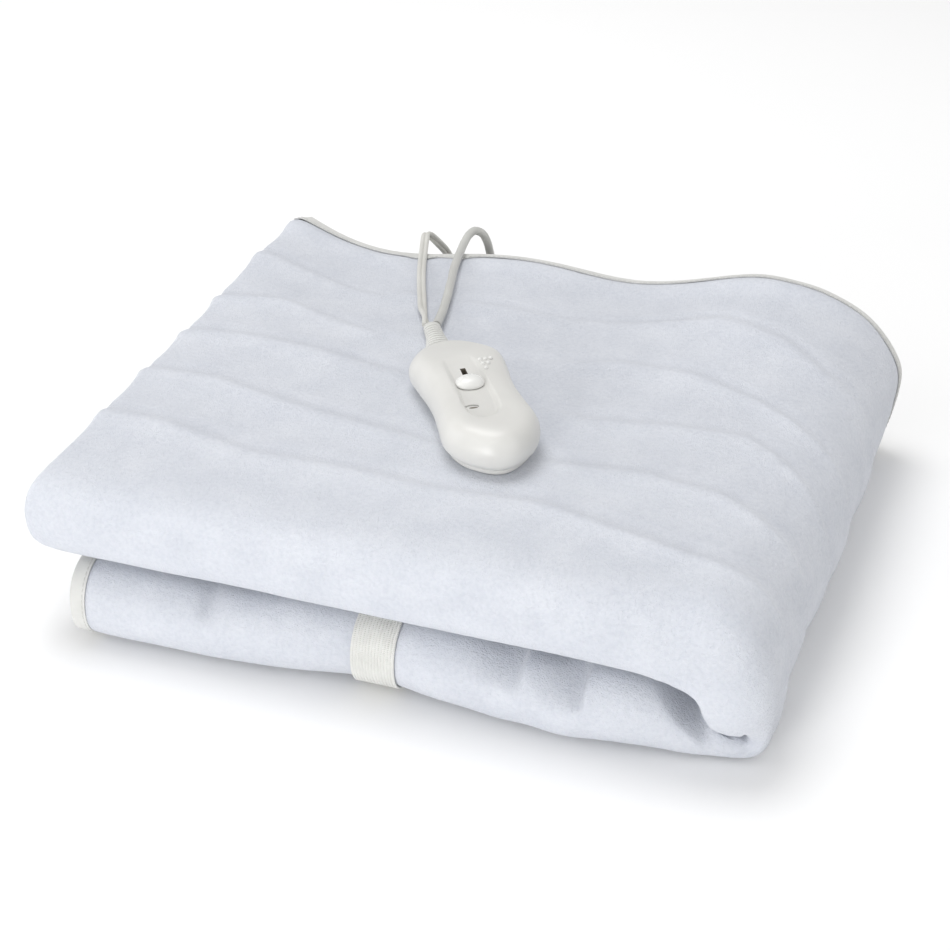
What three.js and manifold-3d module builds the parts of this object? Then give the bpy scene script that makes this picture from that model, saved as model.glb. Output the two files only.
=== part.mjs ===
// A massage table warmer: a bound fleece heating pad folded into a stack of two rolls, with an elastic
// strap round the lower roll and the hand control and its two cords lying on top.
// Millimetres. +Z is up, +X runs to the right along the stack and +Y to its back.

import * as THREE from 'three';
import { mergeVertices } from 'three/addons/utils/BufferGeometryUtils.js';
import Module from 'manifold-3d';

const wasm = await Module();
wasm.setup();

const { lerp, smoothstep, clamp, degToRad } = THREE.MathUtils;

// Driving sizes

const clearance = 0.3;                      // between touching pieces

const fleece = {
  thickness: 3,
  boundThickness: 1.8,                      // pressed flat inside the binding
  squeeze: 4.9,                             // a stack of four layers this many times thinner thins the sheet
  share: 0.25,                              // of the free height, between two nested layers
};

const tape = { width: 9, thickness: 0.8, fold: 1.4, ramp: 4.5 };

const stack = {
  height: 104,
  back: 185,
  innerBack: 190,                           // the inner layer's edges lie further back
  lowerEnd: -193,                           // the lower roll's bound left end, at its most forward
  endBow: 3,                                // above and below, that end lies this much further right
  innerEndInset: 9,
  turnInset: 50,                            // the right fold starts this far inside the right side
};

const strap = { x: -14, width: 25.4, groove: 28, thickness: 1.2, leftRamp: 24, rightRamp: 14 };

const bulge = { share: 0.58, least: 9, most: 31 };  // depth of the front folds, as a share of their height

// The stack's outline, row by row

const rightSideRows = [
  { y: -180, x: 205.5 }, { y: -145, x: 205 }, { y: -110, x: 205 }, { y: -60, x: 208 }, { y: 0, x: 211.5 },
  { y: 186, x: 215 },
];

// Where the upper roll starts to turn round its left rim
const rimRows = [
  { y: -182, x: -215 }, { y: -166, x: -212 }, { y: -145, x: -208.5 }, { y: -85, x: -206 },
  { y: 0, x: -204.5 }, { y: 130, x: -203.5 }, { y: 176, x: -200.5 }, { y: 191, x: -193 },
];

const lowerFrontRows = [
  { x: -193, y: -180 }, { x: -150, y: -182 }, { x: -118, y: -180 }, { x: -82, y: -178 },
  { x: -54, y: -175 }, { x: -28, y: -169 }, { x: 0, y: -171 }, { x: 18, y: -176 }, { x: 59, y: -178 },
  { x: 90, y: -181 }, { x: 127, y: -178.5 }, { x: 150, y: -173 }, { x: 168, y: -167 }, { x: 183, y: -163.5 },
];

const upperFrontRows = [
  { x: -208, y: -178 }, { x: -190, y: -180 }, { x: -100, y: -179 }, { x: 0, y: -180 },
  { x: 100, y: -182 }, { x: 150, y: -180 },
];

// The crevice between the rolls: the lower roll's top and the upper roll's underside, near the front
// and further back. It dips to the right, where the upper roll hangs down over the lower one.
const creviceRows = [
  { x: -220, below: 49.2, above: 50.8, belowBack: 48.4, aboveBack: 51.8 },
  { x: 100, below: 49.2, above: 50.8, belowBack: 48, aboveBack: 51.4 },
  { x: 125, below: 48.6, above: 50.6, belowBack: 46.2, aboveBack: 49.6 },
  { x: 141, below: 45, above: 49.8, belowBack: 43, aboveBack: 46.4 },
  { x: 152, below: 38.5, above: 47, belowBack: 40.4, aboveBack: 43.8 },
  { x: 161, below: 29.5, above: 41, belowBack: 38, aboveBack: 41.4 },
  { x: 168, below: 21.5, above: 32, belowBack: 36, aboveBack: 39.4 },
  { x: 175, below: 16.8, above: 21.5, belowBack: 34.4, aboveBack: 37.8 },
  { x: 181, below: 15.4, above: 17.2, belowBack: 33, aboveBack: 36.4 },
];

// Hollows in the lower roll's top, near the front
const hollowRows = [
  { x: -112, reach: 14, depth: 4 }, { x: 57, reach: 14, depth: 8 }, { x: 93, reach: 17, depth: 9 },
];

// Height of the pad's far edge, which waves up and down and falls away over the right side
const farEdgeRows = [
  { x: -216, z: 109 }, { x: -190, z: 107.5 }, { x: -174, z: 97 }, { x: -160, z: 91 }, { x: -140, z: 89.5 },
  { x: -116, z: 91.5 }, { x: -87, z: 96.5 }, { x: -59, z: 102.5 }, { x: -17, z: 101 }, { x: 11, z: 96.5 },
  { x: 45, z: 96 }, { x: 78, z: 104 }, { x: 104, z: 112.5 }, { x: 124, z: 115 }, { x: 143, z: 113 },
  { x: 156, z: 111 }, { x: 170, z: 106.5 }, { x: 183, z: 100.5 }, { x: 190, z: 95.5 }, { x: 198, z: 88 },
  { x: 205, z: 79 }, { x: 211, z: 69 }, { x: 215, z: 60 },
];

// The wire channels run along the pad as low ridges. Each column is one channel's distance from the
// middle of the depth, where it crosses x.
const channelRows = [
  { x: -210, first: 130, second: 66, third: 18, fourth: -34, fifth: -86 },
  { x: -165, first: 125, second: 78, third: 24, fourth: -32, fifth: -89 },
  { x: -110, first: 112, second: 57, third: 18, fourth: -46, fifth: -102 },
  { x: -60, first: 112, second: 46, third: 8, fourth: -55, fifth: -101 },
  { x: 0, first: 113, second: 45, third: -4, fourth: -62, fifth: -104 },
  { x: 60, first: 122, second: 65, third: -7, fourth: -58, fifth: -100 },
  { x: 105, first: 128, second: 61, third: 0, fourth: -54, fifth: -111 },
  { x: 150, first: 114, second: 43, third: 2, fourth: -62, fifth: -122 },
  { x: 178, first: 94, second: 24, third: -16, fourth: -76, fifth: -126 },
  { x: 204, first: 88, second: 14, third: -34, fourth: -84, fifth: -128 },
];
const channel = { names: ['first', 'second', 'third', 'fourth', 'fifth'], height: 2.4, halfWidth: 9 };

// The right fold, from the floor up to the top: how far inside the right side, how much further
// away from the front, and how high
const turnRows = [
  { inset: 34, lean: 2, height: 0, front: -162.5, ridge: 0, lift: 1, shoulder: 0 },
  { inset: 20, lean: 5, height: 0, front: -160.5, ridge: 0, lift: 1, shoulder: 0 },
  { inset: 10, lean: 6, height: 2, front: -158.5, ridge: 0, lift: 0.8, shoulder: 0 },
  { inset: 4.5, lean: 6, height: 7.5, front: -157.5, ridge: 0, lift: 0.4, shoulder: 0 },
  { inset: 2.5, lean: 5, height: 17, front: -158, ridge: 0.2, lift: 0, shoulder: 0 },
  { inset: 1.5, lean: 2, height: 32, front: -161, ridge: 0.4, lift: 0, shoulder: 0 },
  { inset: 0.5, lean: 0, height: 48, front: -166, ridge: 0.5, lift: 0, shoulder: 0.4 },
  { inset: 2, lean: 0, height: 63, front: -170, ridge: 0.6, lift: 0, shoulder: 0.9 },
  { inset: 6.5, lean: 0, height: 77, front: -173, ridge: 0.8, lift: 0, shoulder: 1 },
  { inset: 14, lean: 0, height: 89.5, front: -176, ridge: 1, lift: 0, shoulder: 1 },
  { inset: 25, lean: 0, height: 98.5, front: -178, ridge: 1, lift: 0, shoulder: 1 },
  { inset: 38, lean: 0, height: 103, front: -179, ridge: 1, lift: 0, shoulder: 1 },
];

// The middle that the right fold turns round
const pivot = { inset: 17, z: 15.6, insetBack: 30, zBack: 34.7, radius: 0.9, radiusBack: 1.7 };

// The upper roll, from the right fold to its left rim: its share of the way, and the crevice under it
const upperRows = [
  { share: 0.012, crevice: 182 }, { share: 0.036, crevice: 175 }, { share: 0.06, crevice: 167 },
  { share: 0.085, crevice: 158 }, { share: 0.118, crevice: 144 }, { share: 0.156, crevice: 126 },
  { share: 0.21, crevice: 96 }, { share: 0.27, crevice: 66 }, { share: 0.34, crevice: 36 },
  { share: 0.41, crevice: 9 }, { share: 0.49, crevice: -21 }, { share: 0.57, crevice: -51 },
  { share: 0.66, crevice: -84 }, { share: 0.75, crevice: -117 }, { share: 0.84, crevice: -149 },
  { share: 0.93, crevice: -182 }, { share: 1, crevice: -208 },
];

// Hand control, laid on the pad with its near end towards the front. x runs from the cords to its
// near end and y to the right, from the middle of the housing.
const control = { x: -4.6, y: -31.3, heading: -56.4, height: 26.6, seat: 104.2 };

const outlineSteps = 36;
const outlineRows = [
  { x: -69, half: 0 }, { x: -67, half: 9 }, { x: -60.5, half: 17.5 }, { x: -50, half: 24.5 },
  { x: -38, half: 28.5 }, { x: -22, half: 27.6 }, { x: -6, half: 25.9 }, { x: 8, half: 25.6 },
  { x: 24, half: 26.8 }, { x: 42, half: 28 }, { x: 55, half: 23.5 }, { x: 64, half: 15.5 },
  { x: 69.5, half: 7.5 }, { x: 71, half: 0 },
];
const shellRings = [
  { inset: 4.2, z: 3.9 }, { inset: 1.6, z: 6.5 }, { inset: 0.2, z: 11 }, { inset: 0.3, z: 15.5 },
  { inset: 1.8, z: 19.6 }, { inset: 4, z: 23 }, { inset: 7, z: 25.2 }, { inset: 11, z: 26.3 },
  { inset: 14.5, z: 26.6 },
];
// Towards the cords the housing is lower
const lowEnd = { from: -72, to: -18, share: 0.67, below: 6.5 };
const baseRings = [{ inset: 6.5, z: 0 }, { inset: 5.2, z: 1.2 }, { inset: 4.7, z: 3.6 }];

const recess = {
  from: -32, to: 44.5, depth: 4.2, middle: -2.6, draft: 0.6, steps: 28,
  outline: [
    { x: -32, y: -3.5 }, { x: -30, y: 3 }, { x: -22, y: 6.4 }, { x: -5, y: 7.2 }, { x: 15, y: 7.4 },
    { x: 31, y: 7.2 }, { x: 39, y: 5 }, { x: 43.6, y: 0.5 }, { x: 44.5, y: -4 }, { x: 42, y: -9.4 },
    { x: 33, y: -12.2 }, { x: 15, y: -12.2 }, { x: -5, y: -12.2 }, { x: -22, y: -11.8 }, { x: -30, y: -9 },
  ],
};
const slot = { from: -11.4, length: 18.8, width: 3.2, depth: 3.5 };
const knob = {
  at: 4.5, length: 12.6, width: 17.2, stem: 5, stemWidth: 2.4, stemDepth: 2.4,
  rings: [
    { size: 0.97, z: 0 }, { size: 1, z: 0.7 }, { size: 0.9, z: 2.3 }, { size: 0.66, z: 3.8 },
    { size: 0.34, z: 4.7 },
  ],
};
const ledWindow = { x: 27.5, y: -7.4, length: 3.6, width: 7.4, depth: 1.2 };
const pip = {
  radius: 0.9, at: -17.3, side: 8.6, z: 26.3, pitchSide: 3.2, pitchAlong: 5.4, shift: 0.4, rows: 3,
};
const boot = {
  from: -66.5, length: 39, side: -2, endSide: 1.4, width: 14, height: 10, endWidth: 10.8, endHeight: 7.4,
  z: 5.9, endZ: 5, rings: 10, ringsFrom: 5.5, pitch: 3.1, ringDepth: 0.7,
};

// Cords. A route is the middle of the cord, its points chosen by hand where it isn't coiled.
const mains = { width: 6, thickness: 3.2 };
const lead = { diameter: 5.6 };
const sides = { flat: 10, round: 8 };

const mainsRoute = [
  { x: -65, y: 56.4, z: 109.4 }, { x: -69, y: 66.2, z: 108.2 }, { x: -74.4, y: 77.4, z: 106.3 },
  { x: -80, y: 90, z: 104.9 }, { x: -85, y: 103, z: 104 }, { x: -89.4, y: 114, z: 103.4 },
  { x: -95.6, y: 130.4, z: 100.6 }, { x: -103, y: 151, z: 98.2 }, { x: -110, y: 172, z: 96.2 },
  { x: -114.6, y: 187, z: 96 }, { x: -118, y: 198.6, z: 96.9 }, { x: -119.7, y: 206, z: 97.2 },
  { x: -118.4, y: 210.6, z: 94.4 }, { x: -113.4, y: 213, z: 88.4 }, { x: -108.8, y: 216.6, z: 80.6 },
  { x: -101, y: 218.6, z: 62 }, { x: -94.4, y: 219.4, z: 44 }, { x: -90, y: 221, z: 27 },
  { x: -88, y: 225.6, z: 13.4 }, { x: -87.4, y: 234, z: 6.6 }, { x: -87.2, y: 249.8, z: 5 },
];
const mainsTailRoute = [
  { x: -151.4, y: 317.2, z: 8.4 }, { x: -163, y: 315.6, z: 6.2 }, { x: -178, y: 310, z: 3.8 },
  { x: -192, y: 304, z: 4.4 }, { x: -204, y: 300, z: 6.2 },
];
const leadRoute = [
  { x: -59.6, y: 60, z: 109.4 }, { x: -61.4, y: 70.3, z: 108.3 }, { x: -63.6, y: 82.7, z: 107.2 },
  { x: -66.2, y: 94.7, z: 106.4 }, { x: -68.6, y: 106, z: 106.3 }, { x: -71, y: 116, z: 106.2 },
  { x: -75, y: 132, z: 104.6 }, { x: -79.6, y: 149, z: 103.1 }, { x: -83, y: 166, z: 102.2 },
  { x: -85.4, y: 180, z: 102 }, { x: -86.8, y: 192, z: 102.8 }, { x: -86.8, y: 201.4, z: 104 },
  { x: -85, y: 208.6, z: 104 }, { x: -81, y: 212, z: 101 }, { x: -78.2, y: 213.2, z: 95.4 },
  { x: -76.8, y: 214.8, z: 88 }, { x: -74.4, y: 216.6, z: 73 }, { x: -71.2, y: 218, z: 54 },
  { x: -68.4, y: 218.6, z: 36 }, { x: -66.8, y: 220.6, z: 20 }, { x: -66, y: 225.4, z: 9.4 },
  { x: -65.7, y: 233, z: 5.4 }, { x: -65.6, y: 241.5, z: 5 },
];
const leadTailRoute = [
  { x: 2, y: 242.8, z: 10.4 }, { x: 4.6, y: 227, z: 9.9 }, { x: 10.4, y: 212, z: 9.3 },
  { x: 17.4, y: 197, z: 8.8 }, { x: 22, y: 183, z: 8.6 }, { x: 23, y: 173, z: 8.6 },
];

// Coils lie flat behind the stack, a little above the floor, each held by a tie round its turns
const mainsCoil = { x: -130, y: 274, middle: 36.6, reach: 9.8, bottom: 1.9, height: 12.8, tieAngle: 200 };
const leadCoil = { x: -32, y: 262, middle: 30.8, reach: 6, bottom: 1.9, height: 11.6, tieAngle: 90 };
const tie = { width: 7, thickness: 1 };

const plug = { x: -204.6, y: 299.8, heading: 198, length: 27, height: 7.9 };
const plugRings = [
  { at: 0, halfWidth: 4.6, halfHeight: 3.4 }, { at: 6, halfWidth: 5.6, halfHeight: 4.2 },
  { at: 12, halfWidth: 9.4, halfHeight: 6.4 }, { at: 17, halfWidth: 11.6, halfHeight: 7.2 },
  { at: 25, halfWidth: 11.6, halfHeight: 7.2 }, { at: 27, halfWidth: 10.6, halfHeight: 6.2 },
];
const blade = { length: 17, width: 6.3, thickness: 1.5, apart: 12.7 };

// Small helpers

function lookUp(rows, key, at, column) {
  if (at <= rows[0][key]) return rows[0][column];
  for (let i = 1; i < rows.length; i += 1) {
    const before = rows[i - 1];
    const after = rows[i];
    if (at <= after[key]) {
      const share = (at - before[key]) / (after[key] - before[key]);
      return lerp(before[column], after[column], share);
    }
  }
  return rows[rows.length - 1][column];
}

function bump(at, centre, reach) {
  const away = Math.abs(at - centre) / reach;
  return away >= 1 ? 0 : 0.5 + 0.5 * Math.cos(Math.PI * away);
}

function steps(count) {
  return Array.from({ length: count }, (_, i) => i);
}

function solidVolume(positions, triangles) {
  const a = new THREE.Vector3();
  const b = new THREE.Vector3();
  const c = new THREE.Vector3();
  let volume = 0;
  for (const [i, j, k] of triangles) {
    a.copy(positions[i]);
    b.copy(positions[j]);
    c.copy(positions[k]);
    volume += a.dot(b.cross(c)) / 6;
  }
  return volume;
}

// A closed geometry from points and triangles, its faces turned outward
function closedGeometry(positions, triangles) {
  const outward = solidVolume(positions, triangles) > 0;
  const index = triangles.flatMap(([i, j, k]) => (outward ? [i, j, k] : [i, k, j]));
  const geometry = new THREE.BufferGeometry();
  const numbers = positions.flatMap((point) => point.toArray());
  geometry.setAttribute('position', new THREE.Float32BufferAttribute(numbers, 3));
  geometry.setIndex(index);
  return geometry;
}

// Rings of equally many points, joined in order and closed at both ends by the given cap triangles
function loft(rings, cap) {
  const size = rings[0].length;
  const positions = rings.flat();
  const triangles = [];
  for (let i = 0; i + 1 < rings.length; i += 1) {
    for (let j = 0; j < size; j += 1) {
      const here = i * size + j;
      const next = i * size + ((j + 1) % size);
      triangles.push([here, next, next + size], [here, next + size, here + size]);
    }
  }
  const last = (rings.length - 1) * size;
  for (const [a, b, c] of cap) {
    triangles.push([a, c, b], [last + a, last + b, last + c]);
  }
  return closedGeometry(positions, triangles);
}

function fan(size) {
  return steps(size - 2).map((i) => [0, i + 1, i + 2]);
}

// A cap of rungs across a long ring, which keeps its two halves level with each other
function ladder(size) {
  const rungs = steps(size / 2).flatMap((i) => {
    const [a, b, c, d] = [i, i + 1, size - i - 1, (size - i) % size];
    return [[a, b, c], [a, c, d]];
  });
  return rungs.filter(([a, b, c]) => a !== b && b !== c && a !== c);
}

function toManifold(geometry) {
  const bare = new THREE.BufferGeometry();
  bare.setAttribute('position', geometry.getAttribute('position').clone());
  if (geometry.index) bare.setIndex(geometry.index.clone());
  const merged = mergeVertices(bare, 1e-4);
  return new wasm.Manifold(new wasm.Mesh({
    numProp: 3,
    vertProperties: merged.getAttribute('position').array,
    triVerts: new Uint32Array(merged.index.array),
  }));
}

function fromManifold(solid) {
  const mesh = solid.getMesh();
  const geometry = new THREE.BufferGeometry();
  geometry.setAttribute('position', new THREE.BufferAttribute(mesh.vertProperties, 3));
  geometry.setIndex(new THREE.BufferAttribute(mesh.triVerts, 1));
  return geometry;
}

function material(colour, roughness, metalness = 0) {
  return new THREE.MeshStandardMaterial({ color: colour, roughness, metalness });
}

const looks = {
  fleece: () => material(0xdde1e9, 0.95),
  tape: () => material(0xebebe4, 0.8),
  elastic: () => material(0xe9e9e2, 0.8),
  plastic: () => material(0xecebe6, 0.35),
  window: () => material(0x3a3833, 0.3),
  cord: () => material(0xd9d8d0, 0.5),
  blade: () => material(0xc9b27a, 0.3, 1),
};

const group = new THREE.Group();
const onCord = [];

function add(name, geometry, look) {
  const mesh = new THREE.Mesh(geometry, looks[look]());
  mesh.name = name;
  group.add(mesh);
  return mesh;
}

function addOnCord(name, geometry, look) {
  onCord.push(add(name, geometry, look));
}

// The folded pad

function rightSide(y) {
  return lookUp(rightSideRows, 'y', y, 'x');
}

function backness(y) {
  return smoothstep(y, -150, 50);
}

function crevice(x, y, front, back) {
  return lerp(lookUp(creviceRows, 'x', x, front), lookUp(creviceRows, 'x', x, back), backness(y));
}

function hollow(x, y) {
  const depth = hollowRows.reduce((sum, row) => sum + row.depth * bump(x, row.x, row.reach), 0);
  return depth * (1 - smoothstep(y, -160, -110));
}

const axisAlong = new THREE.Vector2(1, 0).rotateAround(new THREE.Vector2(), degToRad(control.heading));
const axisAcross = new THREE.Vector2(-axisAlong.y, axisAlong.x);

// 1 under the hand control and its boot, 0 well clear of them
function underControl(x, y) {
  const away = new THREE.Vector2(x - control.x, y - control.y);
  const along = away.dot(axisAlong);
  const across = away.dot(axisAcross);
  const reach = Math.hypot(Math.max(Math.abs(along + 8) - 56, 0), across);
  return 1 - smoothstep(reach, 32, 58);
}

// Towards the back, every height blends into the waving far edge
function nearEdge(y) {
  return smoothstep(y, 20, 170);
}

function topHeight(x, y) {
  const farHeight = lookUp(farEdgeRows, 'x', x, 'z');
  const open = lerp(stack.height, farHeight, nearEdge(y)) - 2 * smoothstep(-y, 60, 160);
  return lerp(open, control.seat, underControl(x, y));
}

function strapGroove(x) {
  const side = x < strap.x ? strap.leftRamp : strap.rightRamp;
  const away = Math.abs(x - strap.x) - strap.groove / 2;
  return (strap.thickness + 2 * clearance) * (1 - smoothstep(away, 0.5, side));
}

// A station is one place along the folded sheet. The sheet's layers cross the line from its outer
// point, on the outside of the stack, to its inner point, on the crevice between the rolls.
function lowerStation(x, bow = 0) {
  return {
    outer: () => new THREE.Vector2(x, 0),
    inner: (y) => new THREE.Vector2(x, crevice(x, y, 'below', 'belowBack') - hollow(x, y)),
    front: lookUp(lowerFrontRows, 'x', x, 'y'),
    ridge: 0,
    groove: strapGroove(x),
    lift: 1,
    bow,
  };
}

function turnStation(row) {
  const outer = (y) => {
    const x = rightSide(y) - row.inset - row.lean * smoothstep(y, -150, -60);
    const level = lerp(row.height, lookUp(farEdgeRows, 'x', x, 'z'), nearEdge(y) * row.shoulder);
    return new THREE.Vector2(x, level);
  };
  const inner = (y) => {
    const share = backness(y);
    const middle = new THREE.Vector2(
      rightSide(y) - lerp(pivot.inset, pivot.insetBack, share),
      lerp(pivot.z, pivot.zBack, share),
    );
    const out = outer(y).sub(middle).normalize();
    return middle.addScaledVector(out, lerp(pivot.radius, pivot.radiusBack, share));
  };
  return { outer, inner, front: row.front, ridge: row.ridge, groove: 0, lift: row.lift, bow: 0 };
}

function upperStation(row) {
  const outer = (y) => {
    const x = lerp(rightSide(y) - stack.turnInset, lookUp(rimRows, 'y', y, 'x'), row.share);
    return new THREE.Vector2(x, topHeight(x, y));
  };
  const inner = (y) => {
    const x = lerp(row.crevice, lookUp(rimRows, 'y', y, 'x') + 3, row.share ** 8);
    return new THREE.Vector2(x, crevice(x, y, 'above', 'aboveBack'));
  };
  const front = lookUp(upperFrontRows, 'x', outer(0).x, 'y');
  return { outer, inner, front, ridge: 1, groove: 0, lift: 0, bow: 0 };
}

const strapEdges = [
  strap.x - strap.groove / 2 - strap.leftRamp, strap.x - strap.groove / 2, strap.x + strap.groove / 2,
  strap.x + strap.groove / 2 + strap.rightRamp,
];

const lowerPlaces = [-126, -112, -98, -75, ...strapEdges, 43, 57, 73, 93, 111, 126, 141, 152, 161];
const innerLowerPlaces = [-112, strap.x, 57, 126, 152];

function tapeStations(end, bow) {
  return [end, end + tape.width + 0.5, end + tape.width + tape.ramp].map((x) => lowerStation(x, bow));
}

const everyOther = (_, i) => i % 2 === 0;

const outerLayer = [
  ...tapeStations(stack.lowerEnd, stack.endBow),
  ...lowerPlaces.map((x) => lowerStation(x)),
  ...turnRows.map(turnStation),
  ...upperRows.map(upperStation),
];
const innerLayer = [
  ...tapeStations(stack.lowerEnd + stack.innerEndInset, stack.endBow),
  ...innerLowerPlaces.map((x) => lowerStation(x)),
  ...turnRows.filter(everyOther).map(turnStation),
  ...upperRows.toReversed().filter(everyOther).toReversed().map(upperStation),
];

// Samples across the folded width, from one long edge to the other: a run outside the stack, the
// front fold, and a run beside the crevice.
const edgeDistances = [0, tape.width + 0.5, tape.width + tape.ramp];
const frontSteps = 7;

const samples = [
  ...edgeDistances.map((fromEdge) => ({ part: 'outer', fromEdge })),
  ...channel.names.flatMap((name) => [1, 0, -1].map((side) => ({ part: 'outer', name, side }))),
  ...steps(frontSteps + 1).map((i) => ({ part: 'front', angle: Math.PI * i / frontSteps })),
  { part: 'inner', share: 0.45 },
  ...edgeDistances.toReversed().map((fromEdge) => ({ part: 'inner', fromEdge })),
];

function heightAt(station, y) {
  return station.outer(y).distanceTo(station.inner(y));
}

function bulgeOf(station) {
  return clamp(bulge.share * heightAt(station, station.front + 10), bulge.least, bulge.most);
}

function sampleY(sample, station, depth, layer) {
  const back = layer === 'inner' ? stack.innerBack : stack.back;
  if (sample.fromEdge !== undefined) return back - sample.fromEdge;
  const frontStart = station.front + bulgeOf(station);
  if (sample.name) {
    const x = station.outer(0).x;
    return lookUp(channelRows, 'x', x, sample.name) + sample.side * channel.halfWidth;
  }
  if (sample.part === 'inner') return lerp(frontStart, back, sample.share);
  return frontStart - (bulgeOf(station) - depth) * Math.sin(sample.angle) ** 0.85;
}

// Depth of one face of the sheet below the stack's outside: 0 and 1 are the outer layer's faces,
// 2 and 3 the inner layer's
function faceDepth(face, height, bound) {
  const thickness = Math.min(fleece.thickness, height / fleece.squeeze);
  const gap = fleece.share * (height - 4 * thickness);
  const pressed = bound ? (thickness - Math.min(fleece.boundThickness, thickness)) / 2 : 0;
  return [pressed, thickness - pressed, thickness + gap + pressed, 2 * thickness + gap - pressed][face];
}

// Where the stack's outside runs at a slant to a station's line, the sheet's depth along it grows
function slantFactor(before, after, across) {
  const along = after.clone().sub(before).normalize();
  const crossing = Math.abs(along.cross(across));
  return Math.min(1 / Math.max(crossing, 0.1), 1.7);
}

// The lower roll's end leans: its underside lies furthest right and its top furthest left
function bowShare(sample) {
  const away = sample.part === 'front' ? 1 - Math.sin(sample.angle) : 1;
  const above = sample.part === 'inner' || Math.cos(sample.angle ?? 0) < 0;
  return above ? -0.7 * away : away;
}

// The underside rises a little towards its corners, so that the stack rests on a rounded patch
const foot = { x: 5.6, y: 9.1, halfLength: 184, halfDepth: 163, rise: 1.2 };

function footRise(x, y) {
  const along = (Math.abs(x - foot.x) / foot.halfLength) ** 4;
  const aside = (Math.abs(y - foot.y) / foot.halfDepth) ** 4;
  return Math.min(Math.max(along + aside - 1, 0) * 2, 1) * foot.rise;
}

function padPoint(stations, index, sample, face, boundEnd) {
  const station = stations[index];
  const layer = face > 1 ? 'inner' : 'outer';
  const bound = (sample.fromEdge !== undefined && sample.fromEdge <= tape.width + 1) || boundEnd;
  const frontDepth = faceDepth(face, heightAt(station, station.front + 10), bound);
  const y = sampleY(sample, station, frontDepth, layer);
  const outer = station.outer(y);
  const across = station.inner(y).sub(outer);
  const height = across.length();
  across.normalize();
  const before = stations[Math.max(index - 1, 0)];
  const after = stations[Math.min(index + 1, stations.length - 1)];
  const outerFactor = slantFactor(before.outer(y), after.outer(y), across);
  const innerFactor = slantFactor(before.inner(y), after.inner(y), across);
  const depth = faceDepth(face, height, bound);
  const lift = bound ? 0.9 * station.lift : 0;
  const groove = layer === 'outer' ? station.groove : 0;
  let reach;
  if (sample.part === 'front') {
    const facing = Math.abs(Math.cos(sample.angle)) ** 0.85;
    const side = Math.sign(Math.cos(sample.angle));
    const factor = side > 0 ? outerFactor : innerFactor;
    const inset = lerp(depth, depth * factor, facing) + (groove + (side > 0 ? lift : 0)) * facing;
    reach = height / 2 - side * facing * Math.max(height / 2 - inset, 0.2);
  } else if (sample.part === 'outer') {
    const crest = sample.side === 0 && layer === 'outer' ? channel.height * station.ridge : 0;
    reach = depth * outerFactor + lift + groove - crest * (1 - underControl(outer.x, y));
  } else {
    reach = height - depth * innerFactor - groove;
  }
  if (face === 0 && !bound && outer.y < 0.01) reach = Math.max(reach, footRise(outer.x, y));
  const bow = station.bow * bowShare(sample);
  return new THREE.Vector3(outer.x + across.x * reach + bow, y, outer.y + across.y * reach);
}

function layerFace(stations, face) {
  return steps(stations.length).map((index) => samples.map((sample) => (
    padPoint(stations, index, sample, face, index < 2)
  )));
}

const faces = [
  layerFace(outerLayer, 0), layerFace(outerLayer, 1), layerFace(innerLayer, 2), layerFace(innerLayer, 3),
];

// Round the upper roll's left rim, where the outer layer turns back as the inner one
const rimAngles = [36, 72, 108, 144].map(degToRad);

function rimRow(first, last, angle) {
  return first.map((start, j) => {
    const middle = start.clone().add(last[j]).multiplyScalar(0.5);
    const radius = start.distanceTo(last[j]) / 2;
    const point = middle.clone().addScaledVector(start.clone().sub(middle), Math.cos(angle));
    point.x -= radius * Math.sin(angle);
    return point;
  });
}

const rims = [[0, 3], [1, 2]].map(([outside, inside]) => (
  rimAngles.map((angle) => rimRow(faces[outside].at(-1), faces[inside].at(-1), angle))
));

function padGeometry() {
  const outsideRun = [...faces[0], ...rims[0], ...faces[3].toReversed()];
  const insideRun = [...faces[1], ...rims[1], ...faces[2].toReversed()];
  const loop = [...outsideRun, ...insideRun.toReversed()];
  const across = samples.length;
  const triangles = [];
  for (const i of steps(loop.length)) {
    const next = (i + 1) % loop.length;
    for (const j of steps(across - 1)) {
      const a = i * across + j;
      const b = next * across + j;
      triangles.push([a, a + 1, b + 1], [a, b + 1, b]);
    }
  }
  // The two long edges close the sheet between its outside and its inside
  for (const i of steps(outsideRun.length - 1)) {
    const a = i * across;
    const b = (loop.length - 1 - i) * across;
    const end = across - 1;
    triangles.push([a, a + across, b - across], [a, b - across, b]);
    triangles.push([a + end, b - across + end, a + across + end], [a + end, b + end, b - across + end]);
  }
  return closedGeometry(loop.flat(), triangles);
}

add('pad', padGeometry(), 'fleece');

// Binding tape: a thin channel folded over the sheet's edge

// A section across the tape, from the middle of the sheet at its edge and under the tape's hem
function tapeSection(edge, hem) {
  const middle = edge.up.clone().add(edge.down).multiplyScalar(0.5);
  const hemMiddle = hem.up.clone().add(hem.down).multiplyScalar(0.5);
  const up = edge.up.clone().sub(edge.down).normalize();
  const hemUp = hem.up.clone().sub(hem.down).normalize();
  const out = middle.clone().sub(hemMiddle).normalize();
  const atEdge = (side, along) => middle.clone().addScaledVector(up, side).addScaledVector(out, along);
  const atHem = (side) => middle.clone().addScaledVector(out, -tape.width).addScaledVector(hemUp, side);
  // Where the section is slanted the sheet measures thicker, and the tape grows with it
  const half = fleece.boundThickness / 2;
  const grow = Math.max(edge.up.distanceTo(edge.down), hem.up.distanceTo(hem.down)) / (2 * half);
  const inside = grow * (half + clearance);
  const outside = grow * (half + clearance + tape.thickness);
  return [
    atHem(outside), atEdge(outside, 0.2), atEdge(0, tape.fold), atEdge(-outside, 0.2), atHem(-outside),
    atHem(-inside), atEdge(-inside, clearance), atEdge(inside, clearance), atHem(inside),
  ];
}

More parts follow.
